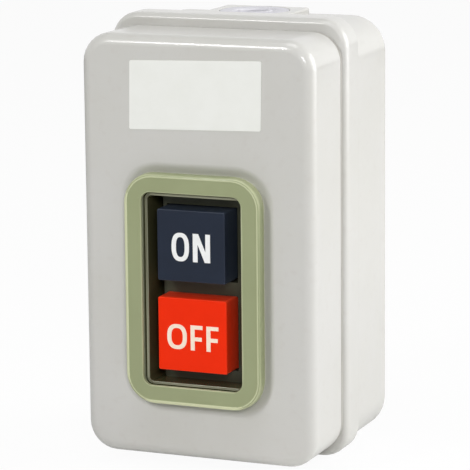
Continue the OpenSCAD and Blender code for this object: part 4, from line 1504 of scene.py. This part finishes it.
@dataclass
class Studio:
    """Camera, lamps, backdrop and floor."""

    azimuth_deg: float = 22.5
    elevation_deg: float = 10.99
    roll_deg: float = -0.55
    distance_mm: float = 926.7
    shift_right_mm: float = 12.74
    shift_up_mm: float = 5.54
    focal_px: float = 2796.9
    picture_px: float = 470.0
    sensor_mm: float = 36.0
    clip_m: tuple[float, float] = (0.01, 20.0)
    ambient: float = 0.12
    white: str = "#ffffff"
    floor_colour: str = "#f7f7f7"
    floor_size_mm: float = 6000.0
    floor_gap_mm: float = 0.1
    floor_white_share: float = 0.95
    lamps: tuple[Lamp, ...] = (
        Lamp("right_softbox", 112.0, 15.0, 1.2, 1.0, 16.0),
        Lamp("top_softbox", -5.0, 77.0, 1.0, 0.5, 3.0),
        Lamp("left_spot", -24.0, 35.0, 1.3, 0.25, 4.6),
        Lamp("right_spot", 26.0, 22.0, 1.3, 0.25, 4.3),
    )

    def camera(self) -> None:
        """Sets the camera as the photograph's own stood, aimed at the middle of the cover's face."""
        a, e, roll = (math.radians(v) for v in (self.azimuth_deg, self.elevation_deg, self.roll_deg))
        ahead = Vector((-math.sin(a) * math.cos(e), math.cos(a) * math.cos(e), -math.sin(e)))
        level = Vector((math.cos(a), math.sin(a), 0.0))
        upright = level.cross(ahead)
        right = math.cos(roll) * level + math.sin(roll) * upright
        up = math.cos(roll) * upright - math.sin(roll) * level
        cover = Span.of("front_cover")
        target = Vector((0.0, cover.low.y, cover.middle.z))
        eye = target - ahead * self.distance_mm + right * self.shift_right_mm + up * self.shift_up_mm
        data = bpy.data.cameras.new("photo_camera")
        data.sensor_width = self.sensor_mm
        data.lens = self.focal_px / self.picture_px * self.sensor_mm
        data.clip_start, data.clip_end = self.clip_m
        camera = bpy.data.objects.new("photo_camera", data)
        axes = Matrix((right, up, -ahead)).transposed().to_4x4()
        camera.matrix_world = Matrix.Translation(eye * MM) @ axes
        bpy.context.scene.collection.objects.link(camera)
        bpy.context.scene.camera = camera

    def light(self) -> None:
        """Hangs the soft boxes round the object."""
        middle = (Span.of("front_cover").middle + Span.of("rear_case").middle) / 2 * MM
        for lamp in self.lamps:
            data = bpy.data.lights.new(lamp.name, "AREA")
            data.shape, data.size, data.energy = "SQUARE", lamp.size, lamp.power
            a, e = math.radians(lamp.azimuth_deg), math.radians(lamp.elevation_deg)
            away = Vector((math.sin(a) * math.cos(e), -math.cos(a) * math.cos(e), math.sin(e)))
            box = bpy.data.objects.new(lamp.name, data)
            box.location = middle + away * lamp.distance
            box.rotation_euler = away.to_track_quat("Z", "Y").to_euler()
            bpy.context.scene.collection.objects.link(box)

    def backdrop(self) -> None:
        """Makes the world: plain ambient light, and white to the camera, to gloss and through glass."""
        world = bpy.data.worlds.new("white_room")
        bpy.context.scene.world = world
        world.use_nodes = True
        tree, white = world.node_tree, linear(self.white)
        tree.nodes.clear()
        rays = add_node(tree, "ShaderNodeLightPath").outputs
        seen = rays["Is Camera Ray"]
        for ray in ("Is Glossy Ray", "Is Transmission Ray"):
            seen = add_node(tree, "ShaderNodeMath", {0: seen, 1: rays[ray]}, operation="MAXIMUM").outputs[0]
        room = [
            add_node(tree, "ShaderNodeBackground", {"Color": white, "Strength": strength}).outputs[0]
            for strength in (self.ambient, 1.0)
        ]
        mix = add_node(tree, "ShaderNodeMixShader", {0: seen, 1: room[0], 2: room[1]})
        add_node(tree, "ShaderNodeOutputWorld", {"Surface": mix.outputs[0]})

    def floor(self) -> None:
        """Lays the floor: pale, whitened to the camera so that only a faint shadow stays."""
        half = self.floor_size_mm / 2
        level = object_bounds()[0].z / MM - self.floor_gap_mm
        mesh = bpy.data.meshes.new("floor")
        corners = [Vector((sx * half, sy * half, level)) * MM for sx, sy in ((-1, -1), (1, -1), (1, 1), (-1, 1))]
        mesh.from_pydata(corners, [], [(0, 1, 2, 3)])
        floor = solid("floor", mesh)
        material = bpy.data.materials.new("pale_paper")
        material.use_nodes = True
        tree = material.node_tree
        tree.nodes.clear()
        camera = add_node(tree, "ShaderNodeLightPath").outputs["Is Camera Ray"]
        share = add_node(tree, "ShaderNodeMath", {0: camera, 1: self.floor_white_share}, operation="MULTIPLY")
        paper = add_node(tree, "ShaderNodeBsdfDiffuse", {"Color": linear(self.floor_colour)})
        white = add_node(tree, "ShaderNodeEmission", {"Color": linear(self.white), "Strength": 1.0})
        mix = add_node(tree, "ShaderNodeMixShader", {0: share.outputs[0], 1: paper.outputs[0], 2: white.outputs[0]})
        add_node(tree, "ShaderNodeOutputMaterial", {"Surface": mix.outputs[0]})
        mesh.materials.append(material)
        floor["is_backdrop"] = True

    def build(self) -> None:
        """Sets up the whole studio."""
        self.camera()
        self.light()
        self.backdrop()
        self.floor()
        bpy.context.scene.view_settings.view_transform = "Standard"


def main() -> None:
    """Loads the frame and builds the studio and the sub-assemblies in order."""
    logging.basicConfig(level=logging.INFO, format="%(name)s: %(message)s")
    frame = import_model()
    palette = Palette(frame["record"])
    Studio().build()
    for assembly in (Cover(palette), RearCase(palette), Well(palette), Buttons(palette)):
        assembly.build()
    Switch(palette).build(frame["nodes"])


if __name__ == "__main__":
    main()
